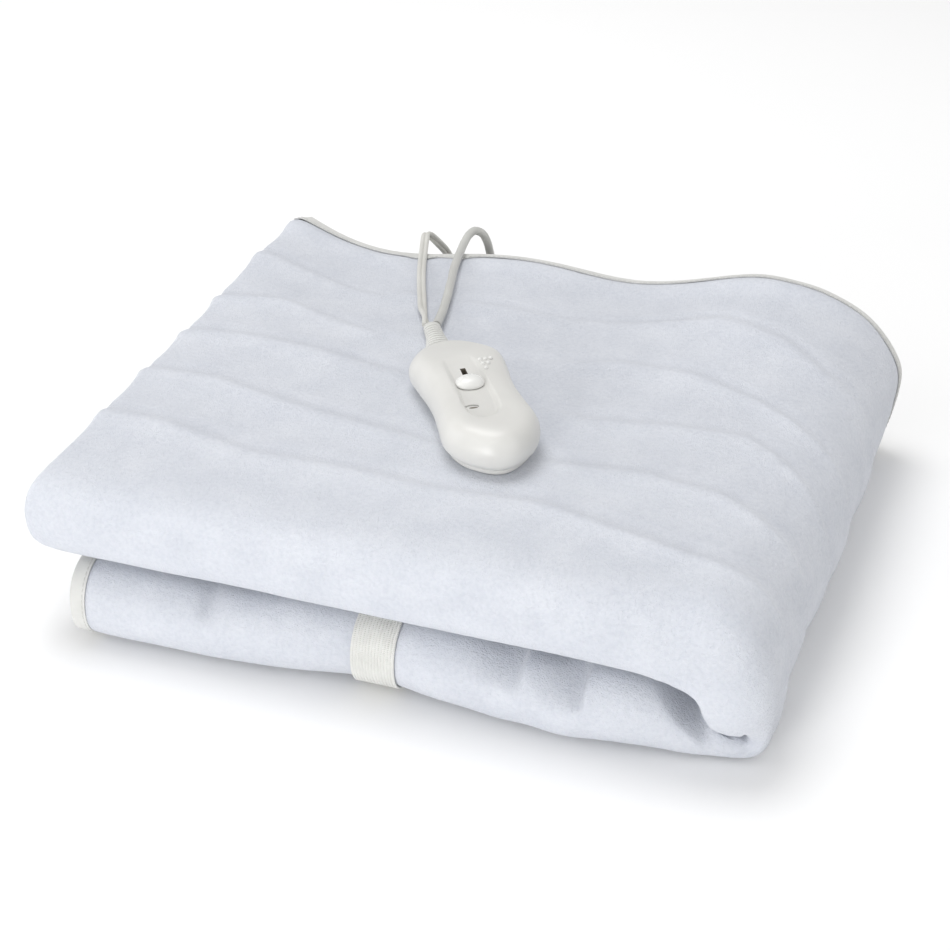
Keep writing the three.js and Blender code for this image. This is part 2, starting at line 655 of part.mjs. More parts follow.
const tapeCap = [
  [0, 1, 7], [0, 7, 8], [1, 2, 7], [2, 6, 7], [2, 3, 6], [3, 4, 5], [3, 5, 6],
];

function sectionAt(upRow, downRow, edge, hem) {
  return tapeSection({ up: upRow[edge], down: downRow[edge] }, { up: upRow[hem], down: downRow[hem] });
}

// One long edge, through every fold and round the rim. It butts against the end tapes.
function longTape(edge, hem) {
  const first = 2;
  return loft([
    ...steps(outerLayer.length).slice(first).map((i) => sectionAt(faces[0][i], faces[1][i], edge, hem)),
    ...steps(rimAngles.length).map((i) => sectionAt(rims[0][i], rims[1][i], edge, hem)),
    ...steps(innerLayer.length).slice(first).toReversed().map((i) => (
      sectionAt(faces[3][i], faces[2][i], edge, hem)
    )),
  ], tapeCap);
}

// One short end, across the folded width
function endTape(up, down) {
  return loft(samples.map((_, j) => tapeSection(
    { up: up[0][j], down: down[0][j] },
    { up: up[1][j], down: down[1][j] },
  )), tapeCap);
}

const lastSample = samples.length - 1;
add('tape_long_outer', longTape(0, 1), 'tape');
add('tape_long_inner', longTape(lastSample, lastSample - 1), 'tape');
add('tape_end_outer', endTape(faces[0], faces[1]), 'tape');
add('tape_end_inner', endTape(faces[3], faces[2]), 'tape');

// Elastic strap round the front of the lower roll, in the groove that it pulls

function offsetRow(points, distance) {
  return points.map((point, i) => {
    const before = points[Math.max(i - 1, 0)];
    const after = points[Math.min(i + 1, points.length - 1)];
    const inward = new THREE.Vector3(0, point.z - before.z, before.y - point.y).normalize();
    const onward = new THREE.Vector3(0, after.z - point.z, point.y - after.y).normalize();
    if (i === 0) inward.copy(onward);
    if (i === points.length - 1) onward.copy(inward);
    const normal = inward.clone().add(onward).normalize();
    return point.clone().addScaledVector(normal, -distance / Math.max(normal.dot(inward), 0.5));
  });
}

function strapGeometry() {
  const edge = (outerLayer.findIndex((station) => station.groove > 1.7));
  const rows = [faces[0][edge], faces[0][edge + 1]];
  const places = [strap.x - strap.width / 2, strap.x + strap.width / 2];
  const sheets = places.map((x) => {
    const share = (x - rows[0][5].x) / (rows[1][5].x - rows[0][5].x);
    return rows[0].map((point, j) => point.clone().lerp(rows[1][j], share)).slice(2, -2);
  });
  const near = sheets.map((points) => offsetRow(points, clearance));
  const far = sheets.map((points) => offsetRow(points, clearance + strap.thickness));
  const rings = steps(near[0].length).map((i) => [near[0][i], near[1][i], far[1][i], far[0][i]]);
  return loft(rings, fan(4));
}

add('strap', strapGeometry(), 'elastic');

// Hand control. Local axes: x runs from the cords to its near end, y to the right, z up.

const place = new THREE.Matrix4()
  .makeTranslation(control.x, control.y, control.seat + clearance)
  .multiply(new THREE.Matrix4().makeRotationZ(degToRad(control.heading)));

// The outline's points, evenly chosen round the housing, moved in by an inset
function outlineRing(inset, z) {
  const right = outlineRows.map((row) => new THREE.Vector3(row.x, row.half, 0));
  const left = outlineRows.slice(1, -1).toReversed().map((row) => new THREE.Vector3(row.x, -row.half, 0));
  const curve = new THREE.CatmullRomCurve3([...right, ...left], true, 'centripetal');
  const shares = steps(outlineSteps).map((i) => i / outlineSteps);
  return shares.map((share) => {
    const point = curve.getPointAt(share);
    const tangent = curve.getTangentAt(share);
    const x = point.x + tangent.y * inset;
    const low = lerp(lowEnd.share, 1, smoothstep(x, lowEnd.from, lowEnd.to));
    const level = z * lerp(1, low, smoothstep(z, 4, lowEnd.below));
    return new THREE.Vector3(x, point.y - tangent.x * inset, level);
  });
}

function housingTopGeometry() {
  const rings = shellRings.map((row) => outlineRing(row.inset, row.z));
  const shell = toManifold(loft(rings, ladder(outlineSteps)));
  const dish = toManifold(dishGeometry());
  const groove = new THREE.BoxGeometry(slot.length, slot.width, slot.depth * 2);
  groove.translate(slot.from + slot.length / 2, recess.middle, dishFloor(slot.from + slot.length / 2));
  const cuts = [groove, windowGeometry(clearance, 4), socketGeometry()];
  let solid = cuts.reduce((left, cut) => left.subtract(toManifold(cut)), shell.subtract(dish));
  for (const row of steps(pip.rows)) {
    for (const column of steps(pip.rows - row)) {
      const dot = new THREE.SphereGeometry(pip.radius, 8, 6);
      dot.translate(
        pip.at + row * pip.pitchAlong,
        pip.side + column * pip.pitchSide + row * pip.shift,
        pip.z,
      );
      solid = solid.add(toManifold(dot));
    }
  }
  return fromManifold(solid);
}

// The recess's floor sinks towards the near end
function dishFloor(x) {
  return control.height - recess.depth * clamp((x - recess.from) / (recess.to - recess.from), 0, 1);
}

function dishRing(inset, rise) {
  const round = new THREE.CatmullRomCurve3(
    recess.outline.map((row) => new THREE.Vector3(row.x, row.y, 0)),
    true,
    'centripetal',
  );
  return steps(recess.steps).map((i) => {
    const point = round.getPointAt(i / recess.steps);
    const tangent = round.getTangentAt(i / recess.steps);
    const moved = new THREE.Vector3(point.x + tangent.y * inset, point.y - tangent.x * inset, 0);
    moved.z = rise > 0 ? control.height + rise : dishFloor(moved.x);
    return moved;
  });
}

function dishGeometry() {
  return loft([dishRing(recess.draft, 0), dishRing(-1, 4)], fan(recess.steps));
}

function windowGeometry(margin, rise) {
  const outline = steps(12).map((i) => {
    const angle = 2 * Math.PI * i / 12;
    const bulk = Math.abs(Math.cos(angle)) ** 0.7 * Math.sign(Math.cos(angle));
    return new THREE.Vector2(
      ledWindow.x + (ledWindow.length / 2 + margin) * Math.sin(angle),
      ledWindow.y + (ledWindow.width / 2 + margin) * bulk,
    );
  });
  const floor = dishFloor(ledWindow.x);
  const ring = (z) => outline.map((point) => new THREE.Vector3(point.x, point.y, z));
  return loft([ring(floor - ledWindow.depth - margin), ring(floor + (rise || -0.3))], fan(12));
}

function knobGeometry() {
  const around = 20;
  const rings = knob.rings.map((row) => steps(around).map((i) => {
    const angle = 2 * Math.PI * i / around;
    const lens = Math.abs(Math.sin(angle)) ** 0.8 * Math.sign(Math.sin(angle));
    const x = row.size * lens * knob.length / 2;
    return new THREE.Vector3(knob.at + x, recess.middle + row.size * Math.cos(angle) * knob.width / 2, row.z);
  }));
  const slope = Math.atan2(recess.depth, recess.to - recess.from);
  const dome = loft(rings, fan(around));
  const stem = new THREE.BoxGeometry(knob.stem, knob.stemWidth, knob.stemDepth + 1);
  stem.translate(knob.at, recess.middle, (1 - knob.stemDepth) / 2 - 0.2);
  const solid = fromManifold(toManifold(dome).add(toManifold(stem)));
  solid.translate(-knob.at, 0, clearance);
  solid.rotateY(slope);
  solid.translate(knob.at, 0, dishFloor(knob.at));
  return solid;
}

function bootRing(at, margin) {
  const around = 12;
  const share = at / boot.length;
  const halfWidth = lerp(boot.width, boot.endWidth, share) / 2 + margin;
  const halfHeight = lerp(boot.height, boot.endHeight, share) / 2 + margin;
  const level = lerp(boot.z, boot.endZ, share);
  const side = lerp(boot.side, boot.endSide, share);
  return steps(around).map((i) => {
    const angle = 2 * Math.PI * (i + 0.5) / around;
    const away = side + halfWidth * Math.cos(angle);
    return new THREE.Vector3(boot.from - at, away, level + halfHeight * Math.sin(angle));
  });
}

// The housing's end is cut away round the boot
function socketGeometry() {
  return loft([bootRing(-clearance, clearance), bootRing(8, clearance)], fan(12));
}

function bootGeometry() {
  const profile = [{ at: 0, grow: 0 }, { at: 3, grow: 0 }];
  for (const i of steps(boot.rings)) {
    const at = boot.ringsFrom + i * boot.pitch;
    profile.push({ at, grow: -boot.ringDepth }, { at: at + boot.pitch / 2, grow: 0 });
  }
  profile.push({ at: boot.length, grow: -boot.ringDepth });
  return loft(profile.map((row) => bootRing(row.at, row.grow)), fan(12));
}

function baseGeometry() {
  return loft(baseRings.map((row) => outlineRing(row.inset, row.z)), ladder(outlineSteps));
}

const controlPieces = [
  { name: 'housing_top', geometry: housingTopGeometry(), look: 'plastic' },
  { name: 'housing_base', geometry: baseGeometry(), look: 'plastic' },
  { name: 'slider_knob', geometry: knobGeometry(), look: 'plastic' },
  { name: 'led_window', geometry: windowGeometry(0, 0), look: 'window' },
  { name: 'boot', geometry: bootGeometry(), look: 'plastic' },
];
for (const { name, geometry, look } of controlPieces) {
  add(name, geometry.applyMatrix4(place), look);
}

// Cords

function tube(route, halfWidth, halfHeight, around, pace) {
  const points = route.map(({ x, y, z }) => new THREE.Vector3(x, y, z));
  const curve = new THREE.CatmullRomCurve3(points, false, 'centripetal');
  const shape = new THREE.Shape(steps(around).map((i) => {
    const angle = 2 * Math.PI * (i + 0.5) / around;
    return new THREE.Vector2(halfHeight * Math.cos(angle), halfWidth * Math.sin(angle));
  }));
  const count = Math.round(curve.getLength() / pace);
  const solid = new THREE.ExtrudeGeometry(shape, { steps: count, extrudePath: curve, bevelEnabled: false });
  const bare = new THREE.BufferGeometry().setAttribute('position', solid.getAttribute('position'));
  return mergeVertices(bare, 1e-3);
}

function flatTube(route, pace) {
  return tube(route, mains.width / 2, mains.thickness / 2, sides.flat, pace);
}

function roundTube(route, pace) {
  return tube(route, lead.diameter / 2, lead.diameter / 2, sides.round, pace);
}

// A coil's outer shape: a ring with rounded corners
function coilGeometry(coil) {
  const corner = 2.5;
  const top = coil.bottom + coil.height;
  const section = [
    [coil.middle - coil.reach, coil.bottom + corner], [coil.middle - coil.reach + corner, coil.bottom],
    [coil.middle + coil.reach - corner, coil.bottom], [coil.middle + coil.reach, coil.bottom + corner],
    [coil.middle + coil.reach, top - corner], [coil.middle + coil.reach - corner, top],
    [coil.middle - coil.reach + corner, top], [coil.middle - coil.reach, top - corner],
  ].map(([r, z]) => new THREE.Vector2(r, z));
  const ring = new THREE.LatheGeometry([...section, section[0]], 24);
  const bare = new THREE.BufferGeometry().setAttribute('position', ring.getAttribute('position'));
  bare.setIndex(ring.index);
  return mergeVertices(bare.rotateX(Math.PI / 2).translate(coil.x, coil.y, 0), 1e-3);
}

// A band round the coil's turns at one place
function tieGeometry(coil) {
  const level = coil.bottom + coil.height / 2;
  const rounded = (margin) => {
    const halfReach = coil.reach + margin;
    const halfHeight = coil.height / 2 + margin;
    const corner = 2.5;
    return [
      [-halfReach, -halfHeight + corner], [-halfReach + corner, -halfHeight],
      [halfReach - corner, -halfHeight], [halfReach, -halfHeight + corner],
      [halfReach, halfHeight - corner], [halfReach - corner, halfHeight],
      [-halfReach + corner, halfHeight], [-halfReach, halfHeight - corner],
    ];
  };
  const inside = rounded(2 * clearance);
  const outside = rounded(2 * clearance + tie.thickness);
  const rings = steps(inside.length + 1).map((i) => {
    const at = i % inside.length;
    const [a, b] = [inside[at], outside[at]];
    const half = tie.width / 2;
    return [[a, -half], [b, -half], [b, half], [a, half]].map(([point, side]) => (
      new THREE.Vector3(point[0] + coil.middle, side, point[1] + level)
    ));
  });
  const positions = rings.slice(0, -1).flat();
  const triangles = [];
  for (const i of steps(inside.length)) {
    for (const j of steps(4)) {
      const here = i * 4 + j;
      const beside = i * 4 + ((j + 1) % 4);
      const next = ((i + 1) % inside.length) * 4;
      triangles.push([here, beside, next + ((j + 1) % 4)], [here, next + ((j + 1) % 4), next + j]);
    }
  }
  const band = closedGeometry(positions, triangles);
  return band.rotateZ(degToRad(coil.tieAngle)).translate(coil.x, coil.y, 0);
}

function plugPlace() {
  return new THREE.Matrix4()
    .makeTranslation(plug.x, plug.y, plug.height)
    .multiply(new THREE.Matrix4().makeRotationZ(degToRad(plug.heading)));
}

function plugGeometry() {
  const around = 16;
  return loft(plugRings.map((row) => steps(around).map((i) => {
    const angle = 2 * Math.PI * (i + 0.5) / around;
    const wide = Math.abs(Math.cos(angle)) ** 0.6 * Math.sign(Math.cos(angle));
    const high = Math.abs(Math.sin(angle)) ** 0.6 * Math.sign(Math.sin(angle));
    return new THREE.Vector3(row.at, row.halfWidth * wide, row.halfHeight * high);
  })), fan(around));
}

function bladeGeometry(side) {
  const metal = new THREE.BoxGeometry(blade.length, blade.thickness, blade.width);
  return metal.translate(plug.length + clearance + blade.length / 2, side * blade.apart / 2, 0);
}

addOnCord('mains_lead', flatTube(mainsRoute, 13), 'cord');
addOnCord('mains_coil', coilGeometry(mainsCoil), 'cord');
addOnCord('mains_tie', tieGeometry(mainsCoil), 'plastic');
addOnCord('mains_tail', flatTube(mainsTailRoute, 12), 'cord');
addOnCord('mains_plug', plugGeometry().applyMatrix4(plugPlace()), 'plastic');
addOnCord('plug_blade_left', bladeGeometry(-1).applyMatrix4(plugPlace()), 'blade');
addOnCord('plug_blade_right', bladeGeometry(1).applyMatrix4(plugPlace()), 'blade');
addOnCord('pad_lead', roundTube(leadRoute, 12), 'cord');
addOnCord('pad_lead_coil', coilGeometry(leadCoil), 'cord');
addOnCord('pad_lead_tie', tieGeometry(leadCoil), 'plastic');
addOnCord('pad_lead_tail', roundTube(leadTailRoute, 14), 'cord');

// The origin is under the middle of everything but the cords, on the floor
const extent = new THREE.Box3();
for (const mesh of group.children.filter((child) => !onCord.includes(child))) {
  extent.expandByObject(mesh, true);
}
const middle = extent.getCenter(new THREE.Vector3());
for (const mesh of group.children) {
  mesh.geometry.translate(-middle.x, -middle.y, -extent.min.z);
}
group.userData.shift = [-middle.x, -middle.y, -extent.min.z];

export default group;
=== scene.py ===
# A massage table warmer: a folded fleece heating pad with its binding, strap, hand control and cords
import math

import bmesh
import bpy
import numpy as np
from mathutils import Matrix, Vector, noise
from mathutils.bvhtree import BVHTree


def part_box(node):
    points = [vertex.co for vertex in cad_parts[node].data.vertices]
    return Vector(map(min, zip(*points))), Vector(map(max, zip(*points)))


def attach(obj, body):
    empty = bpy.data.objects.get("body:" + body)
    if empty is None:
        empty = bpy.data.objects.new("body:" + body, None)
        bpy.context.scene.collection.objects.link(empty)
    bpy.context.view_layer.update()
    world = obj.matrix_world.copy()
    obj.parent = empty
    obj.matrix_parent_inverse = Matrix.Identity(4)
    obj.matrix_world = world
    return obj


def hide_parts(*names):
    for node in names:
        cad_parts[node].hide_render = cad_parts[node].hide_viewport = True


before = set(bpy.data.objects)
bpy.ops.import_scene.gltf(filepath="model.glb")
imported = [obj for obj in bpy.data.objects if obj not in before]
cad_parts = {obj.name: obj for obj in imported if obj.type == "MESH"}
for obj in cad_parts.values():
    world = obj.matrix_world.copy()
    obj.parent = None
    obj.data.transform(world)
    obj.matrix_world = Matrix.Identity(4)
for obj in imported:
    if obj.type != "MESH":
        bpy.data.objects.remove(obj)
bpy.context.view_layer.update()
mm = 0.001

# The design's own origin lies a little aside of the frame's: the big coil's middle gives the shift
coilMiddle = {"x": -130, "y": 274}
coilLow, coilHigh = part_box("mains_coil")
shift = Vector((
    (coilLow[0] + coilHigh[0]) / 2 - coilMiddle["x"] * mm,
    (coilLow[1] + coilHigh[1]) / 2 - coilMiddle["y"] * mm,
    0,
))
up = Vector((0, 0, 1))


# Small helpers

def clearSelection():
    bpy.ops.object.select_all(action="DESELECT")
    bpy.context.view_layer.objects.active = None


def activate(piece):
    clearSelection()
    piece.select_set(True)
    bpy.context.view_layer.objects.active = piece


def applyModifier(piece, kind, **settings):
    modifier = piece.modifiers.new(kind.title(), kind)
    for name, value in settings.items():
        setattr(modifier, name, value)
    activate(piece)
    bpy.ops.object.modifier_apply(modifier=modifier.name)


def bevel(piece, width, degrees):
    limit = math.radians(degrees)
    applyModifier(piece, "BEVEL", width=width, segments=2, limit_method="ANGLE", angle_limit=limit)


def smoothByAngle(piece, degrees):
    activate(piece)
    bpy.ops.object.shade_smooth_by_angle(angle=math.radians(degrees))


def partWay(value, low, high):
    # how far the value lies from low to high, 0 to 1
    return min(max((value - low) / (high - low), 0), 1)


def smoothstep(value, low, high):
    share = partWay(value, low, high)
    return share * share * (3 - 2 * share)


def mix(a, b, share):
    return a + (b - a) * share


def anglesAround(count):
    return [2 * math.pi * i / count for i in range(count)]


def finishPiece(piece, body, nodes, material):
    piece.data.materials.clear()
    piece.data.materials.append(material)
    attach(piece, body)
    if nodes:
        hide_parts(*nodes)
    return piece


def copyNode(node, name):
    # a merged copy of a CAD node's mesh, its triangles paired into quads
    piece = bpy.data.objects.new(name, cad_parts[node].data.copy())
    piece.data.name = name
    bpy.context.scene.collection.objects.link(piece)
    activate(piece)
    bpy.ops.object.mode_set(mode="EDIT")
    bpy.ops.mesh.select_all(action="SELECT")
    bpy.ops.mesh.remove_doubles(threshold=0.00002)
    bpy.ops.mesh.tris_convert_to_quads(face_threshold=math.radians(60), shape_threshold=math.radians(60))
    bpy.ops.object.mode_set(mode="OBJECT")
    bpy.ops.mesh.customdata_custom_splitnormals_clear()
    bpy.ops.object.shade_smooth()
    return piece


def surfaceTree(piece):
    mesh = piece.data
    return BVHTree.FromPolygons([v.co for v in mesh.vertices], [p.vertices for p in mesh.polygons])


def creaseCorners(piece, degrees):
    # sharp corners stay where they are when the piece is subdivided
    activate(piece)
    bpy.ops.object.mode_set(mode="EDIT")
    bpy.ops.mesh.select_mode(type="EDGE")
    bpy.ops.mesh.select_all(action="DESELECT")
    bpy.ops.mesh.edges_select_sharp(sharpness=math.radians(degrees))
    bpy.ops.transform.edge_crease(value=1)
    bpy.ops.mesh.select_mode(type="VERT")
    bpy.ops.object.mode_set(mode="OBJECT")


def ringStack(name, rings):
    # a circle is laid on the first ring, then extruded from ring to ring
    clearSelection()
    bpy.ops.mesh.primitive_circle_add(vertices=len(rings[0]), radius=0.01)
    piece = bpy.context.object
    piece.name = piece.data.name = name
    bpy.ops.object.mode_set(mode="EDIT")
    shape = bmesh.from_edit_mesh(piece.data)
    place = shape.verts.layers.int.new("place")
    for i, vertex in enumerate(shape.verts):
        vertex[place] = i
        vertex.co = rings[0][i]
    for ring in rings[1:]:
        bmesh.update_edit_mesh(piece.data)
        bpy.ops.mesh.extrude_region_move()
        shape = bmesh.from_edit_mesh(piece.data)
        place = shape.verts.layers.int["place"]
        for vertex in shape.verts:
            if vertex.select:
                vertex.co = ring[vertex[place]]
    bmesh.update_edit_mesh(piece.data)
    bpy.ops.mesh.select_all(action="SELECT")
    bpy.ops.mesh.remove_doubles(threshold=0.000005)
    bpy.ops.mesh.select_all(action="SELECT")
    bpy.ops.mesh.fill_holes(sides=0)
    bpy.ops.mesh.select_all(action="SELECT")
    bpy.ops.mesh.normals_make_consistent(inside=False)
    bpy.ops.object.mode_set(mode="OBJECT")
    piece.data.attributes.remove(piece.data.attributes["place"])
    bpy.ops.object.shade_smooth()
    return piece


def spline(points, step, closed=False):
    # an evenly stepped centripetal spline through the points
    places = [Vector(p) for p in points]
    if closed:
        places = [places[-1], *places, places[0], places[1]]
    else:
        places = [places[0] * 2 - places[1], *places, places[-1] * 2 - places[-2]]
    fine = []
    for a, b, c, d in zip(places, places[1:], places[2:], places[3:]):
        t = [0.0]
        for p, q in ((a, b), (b, c), (c, d)):
            t.append(t[-1] + max((q - p).length, 1e-9) ** 0.5)
        count = max(2, math.ceil((c - b).length / step * 2))
        for i in range(count):
            u = mix(t[1], t[2], i / count)
            ab = a.lerp(b, (u - t[0]) / (t[1] - t[0]))
            bc = b.lerp(c, (u - t[1]) / (t[2] - t[1]))
            cd = c.lerp(d, (u - t[2]) / (t[3] - t[2]))
            abc = ab.lerp(bc, (u - t[0]) / (t[2] - t[0]))
            bcd = bc.lerp(cd, (u - t[1]) / (t[3] - t[1]))
            fine.append(abc.lerp(bcd, (u - t[1]) / (t[2] - t[1])))
    fine.append(places[-2].copy())
    return evenly(fine, step)


def pathLength(path):
    return sum((q - p).length for p, q in zip(path, path[1:]))


def runAlong(path):
    # the distance along the path to each of its points
    lengths = [0.0]
    for p, q in zip(path, path[1:]):
        lengths.append(lengths[-1] + (q - p).length)
    return lengths


def headingAt(path, i):
    return (path[min(i + 1, len(path) - 1)] - path[max(i - 1, 0)]).normalized()


def evenly(points, step):
    lengths = runAlong(points)
    count = max(2, round(lengths[-1] / step))
    at, result = 0, []
    for i in range(count + 1):
        goal = lengths[-1] * i / count
        while at < len(points) - 2 and lengths[at + 1] < goal:
            at += 1
        span = max(lengths[at + 1] - lengths[at], 1e-12)
        result.append(points[at].lerp(points[at + 1], partWay(goal - lengths[at], 0, span)))
    return result


def meshPiece(name, points, faces):
    mesh = bpy.data.meshes.new(name)
    mesh.from_pydata([tuple(p) for p in points], [], faces)
    piece = bpy.data.objects.new(name, mesh)
    bpy.context.scene.collection.objects.link(piece)
    activate(piece)
    bpy.ops.object.mode_set(mode="EDIT")
    bpy.ops.mesh.select_all(action="SELECT")
    bpy.ops.mesh.normals_make_consistent(inside=False)
    bpy.ops.object.mode_set(mode="OBJECT")
    return piece


def tubeFaces(base, size, rows):
    # the quads between the rows of a tube's points, and its two ends
    faces = []
    for row in range(rows - 1):
        a, b = base + row * size, base + (row + 1) * size
        for j in range(size):
            k = (j + 1) % size
            faces.append((a + j, a + k, b + k, b + j))
    last = base + (rows - 1) * size
    return faces + [tuple(range(base + size - 1, base - 1, -1)), tuple(range(last, last + size))]


def sweep(name, path, profile, sides):
    # the profile (sideways, upwards) carried along the path, each place with its own sideways direction
    size = len(profile)
    points, places = [], []
    for i, (p, side, run) in enumerate(zip(path, sides, runAlong(path))):
        over = side.cross(headingAt(path, i))
        for j, (a, b) in enumerate(profile):
            points.append(p + side * a + over * b)
            places.append((run, j / size))
    piece = meshPiece(name, points, tubeFaces(0, size, len(path)))
    layer = piece.data.uv_layers.new(name="run")
    for loop in piece.data.loops:
        layer.data[loop.index].uv = places[loop.vertex_index]
    smoothByAngle(piece, 50)
    return piece


# Materials

def newMaterial(name, colour, roughness, metallic=0.0, sheen=0.0, specular=0.5):
    material = bpy.data.materials.new(name)
    material.use_nodes = True
    surface = material.node_tree.nodes["Principled BSDF"]
    surface.inputs["Base Color"].default_value = (*colour, 1)
    surface.inputs["Roughness"].default_value = roughness
    surface.inputs["Metallic"].default_value = metallic
    surface.inputs["Specular IOR Level"].default_value = specular
    if sheen:
        surface.inputs["Sheen Weight"].default_value = sheen
        surface.inputs["Sheen Roughness"].default_value = 0.45
    return material


def addNode(material, kind, **inputs):
    node = material.node_tree.nodes.new(kind)
    for name, value in inputs.items():
        node.inputs[name.replace("_", " ")].default_value = value
    return node


def link(material, source, output, target, socket):
    material.node_tree.links.new(source.outputs[output], target.inputs[socket])


def noiseFrom(material, place, scale, detail):
    # place is the texture coordinate node, the scale is per metre
    grain = addNode(material, "ShaderNodeTexNoise", Scale=scale, Detail=detail)
    link(material, place, "Object", grain, "Vector")
    return grain


def tint(material, grain, dark, light, low, high):
    ramp = material.node_tree.nodes.new("ShaderNodeValToRGB")
    ramp.color_ramp.elements[0].position = low
    ramp.color_ramp.elements[0].color = (*dark, 1)
    ramp.color_ramp.elements[1].position = high
    ramp.color_ramp.elements[1].color = (*light, 1)
    link(material, grain, "Fac", ramp, "Fac")
    return ramp


def bumpChain(material, grains):
    # each grain is a texture node and its depth in metres, the coarsest first
    surface = material.node_tree.nodes["Principled BSDF"]
    before = None
    for grain, depth in grains:
        bump = addNode(material, "ShaderNodeBump", Strength=1.0, Distance=depth)
        link(material, grain, "Fac", bump, "Height")
        if before:
            link(material, before, "Normal", bump, "Normal")
        before = bump
    link(material, before, "Normal", surface, "Normal")


fleeceLook = {
    "dark": (0.555, 0.58, 0.64),
    "light": (0.675, 0.695, 0.745),
    "mottle": 38, "nap": 460, "fuzz": 1300,      # noise scales, per metre
    "napDepth": 0.00055, "fuzzDepth": 0.0006,
}


def fleeceMaterial():
    look = fleeceLook
    material = newMaterial("brushedFleece", look["light"], 0.95, sheen=0.35, specular=0.1)
    surface = material.node_tree.nodes["Principled BSDF"]
    place = material.node_tree.nodes.new("ShaderNodeTexCoord")
    mottle = noiseFrom(material, place, look["mottle"], 5)
    nap = noiseFrom(material, place, look["nap"], 4)
    fuzz = noiseFrom(material, place, look["fuzz"], 2)
    broad = tint(material, mottle, look["dark"], look["light"], 0.3, 0.72)
    fine = tint(material, nap, look["dark"], look["light"], 0.25, 0.6)
    blend = addNode(material, "ShaderNodeMix")
    blend.data_type = "RGBA"
    blend.inputs["Factor"].default_value = 0.5
    # a Mix node's colours are its inputs 6 and 7, and its mixed colour is output 2
    material.node_tree.links.new(broad.outputs["Color"], blend.inputs[6])
    material.node_tree.links.new(fine.outputs["Color"], blend.inputs[7])
    material.node_tree.links.new(blend.outputs[2], surface.inputs["Base Color"])
    bumpChain(material, [(nap, look["napDepth"]), (fuzz, look["fuzzDepth"])])
    return material


def cloudedMaterial(name, base, dark, light, roughness, scale, sheen=0.0, specular=0.5):
    # soft clouds of two close colours; each material adds a grain of its own
    material = newMaterial(name, base, roughness, sheen=sheen, specular=specular)
    place = material.node_tree.nodes.new("ShaderNodeTexCoord")
    clouds = noiseFrom(material, place, scale, 4)
    colour = tint(material, clouds, dark, light, 0.3, 0.7)
    link(material, colour, "Color", material.node_tree.nodes["Principled BSDF"], "Base Color")
    return material, place, clouds


tapeLook = {
    "base": (0.66, 0.66, 0.64), "dark": (0.62, 0.62, 0.60), "light": (0.69, 0.69, 0.67),
    "roughness": 0.8, "sheen": 0.15, "specular": 0.2, "scale": 60,
}


def tapeMaterial():
    material, place, _ = cloudedMaterial("wovenTape", **tapeLook)
    bumpChain(material, [(noiseFrom(material, place, 1900, 2), 0.0003)])
    return material


elasticLook = {
    "base": (0.78, 0.78, 0.75), "dark": (0.73, 0.73, 0.70), "light": (0.81, 0.81, 0.78),
    "roughness": 0.75, "sheen": 0.1, "specular": 0.25, "scale": 90,
}


def elasticMaterial():
    # u runs along the strap in metres, v across it
    material, place, _ = cloudedMaterial("ribbedElastic", **elasticLook)
    picks = addNode(material, "ShaderNodeTexWave", Scale=300.0, Distortion=0.6, Detail=1.0)
    picks.bands_direction = "X"
    link(material, place, "UV", picks, "Vector")
    bumpChain(material, [(picks, 0.00025)])
    return material


def plasticMaterial(name, dark, light, roughness, grainDepth=0.00002):
    material, place, clouds = cloudedMaterial(name, light, dark, light, roughness, 45)
    rough = addNode(material, "ShaderNodeMapRange", From_Min=0.3, From_Max=0.7)
    rough.inputs["To Min"].default_value = roughness - 0.05
    rough.inputs["To Max"].default_value = roughness + 0.06
    link(material, clouds, "Fac", rough, "Value")
    link(material, rough, "Result", material.node_tree.nodes["Principled BSDF"], "Roughness")
    bumpChain(material, [(noiseFrom(material, place, 2600, 2), grainDepth)])
    return material


fleece = fleeceMaterial()
tapeCloth = tapeMaterial()
elastic = elasticMaterial()
# the thread is darker than the tape: painted shade for the groove along the hem, which the tape's shape does
# not have
threadWithPaintedHemShade = plasticMaterial("sewingThreadWithPaintedHemShade", (0.52, 0.52, 0.5), (0.6, 0.6, 0.57), 0.6)
housingPlastic = plasticMaterial("housingPlastic", (0.63, 0.625, 0.60), (0.67, 0.665, 0.64), 0.36)
# the slider knob's lighter plastic; on the housing's pips the same lighter colour is a painted highlight
knobPlasticAndPaintedPipHighlight = plasticMaterial("knobPlasticAndPaintedPipHighlight", (0.72, 0.72, 0.70), (0.77, 0.77, 0.75), 0.24)
softPlastic = plasticMaterial("softPlastic", (0.62, 0.62, 0.595), (0.67, 0.67, 0.645), 0.42)
cordSheath = plasticMaterial("cordSheath", (0.475, 0.475, 0.455), (0.54, 0.54, 0.515), 0.4, 0.00004)
twinSheath = plasticMaterial("twinSheath", (0.57, 0.565, 0.53), (0.64, 0.635, 0.60), 0.4, 0.00004)
slotShade = plasticMaterial("slotShade", (0.16, 0.14, 0.115), (0.24, 0.215, 0.18), 0.5)
bladeBrass = newMaterial("bladeBrass", (0.79, 0.66, 0.42), 0.28, metallic=1.0)
print("materials ready")


# Camera, at the photo's angle

camera = {"azimuth": 18.9, "elevation": 32, "distance": 1.202, "aim": (-0.011, -0.008, 0.05), "lens": 75.79}


def makeCamera():
    azimuth = math.radians(camera["azimuth"])
    elevation = math.radians(camera["elevation"])
    back = Vector((
        math.sin(azimuth) * math.cos(elevation),
        -math.cos(azimuth) * math.cos(elevation),
        math.sin(elevation),
    ))
    aim = Vector(camera["aim"]) + shift
    clearSelection()
    bpy.ops.object.camera_add(location=aim + back * camera["distance"])
    eye = bpy.context.object
    eye.rotation_euler = back.to_track_quat("Z", "Y").to_euler()
    eye.data.lens = camera["lens"]
    eye.data.sensor_width = 36
    eye.data.dof.use_dof = False
    bpy.context.scene.camera = eye


makeCamera()
print("camera ready")


# Cords. The routes repeat the model's own points, in millimetres from the design's origin.

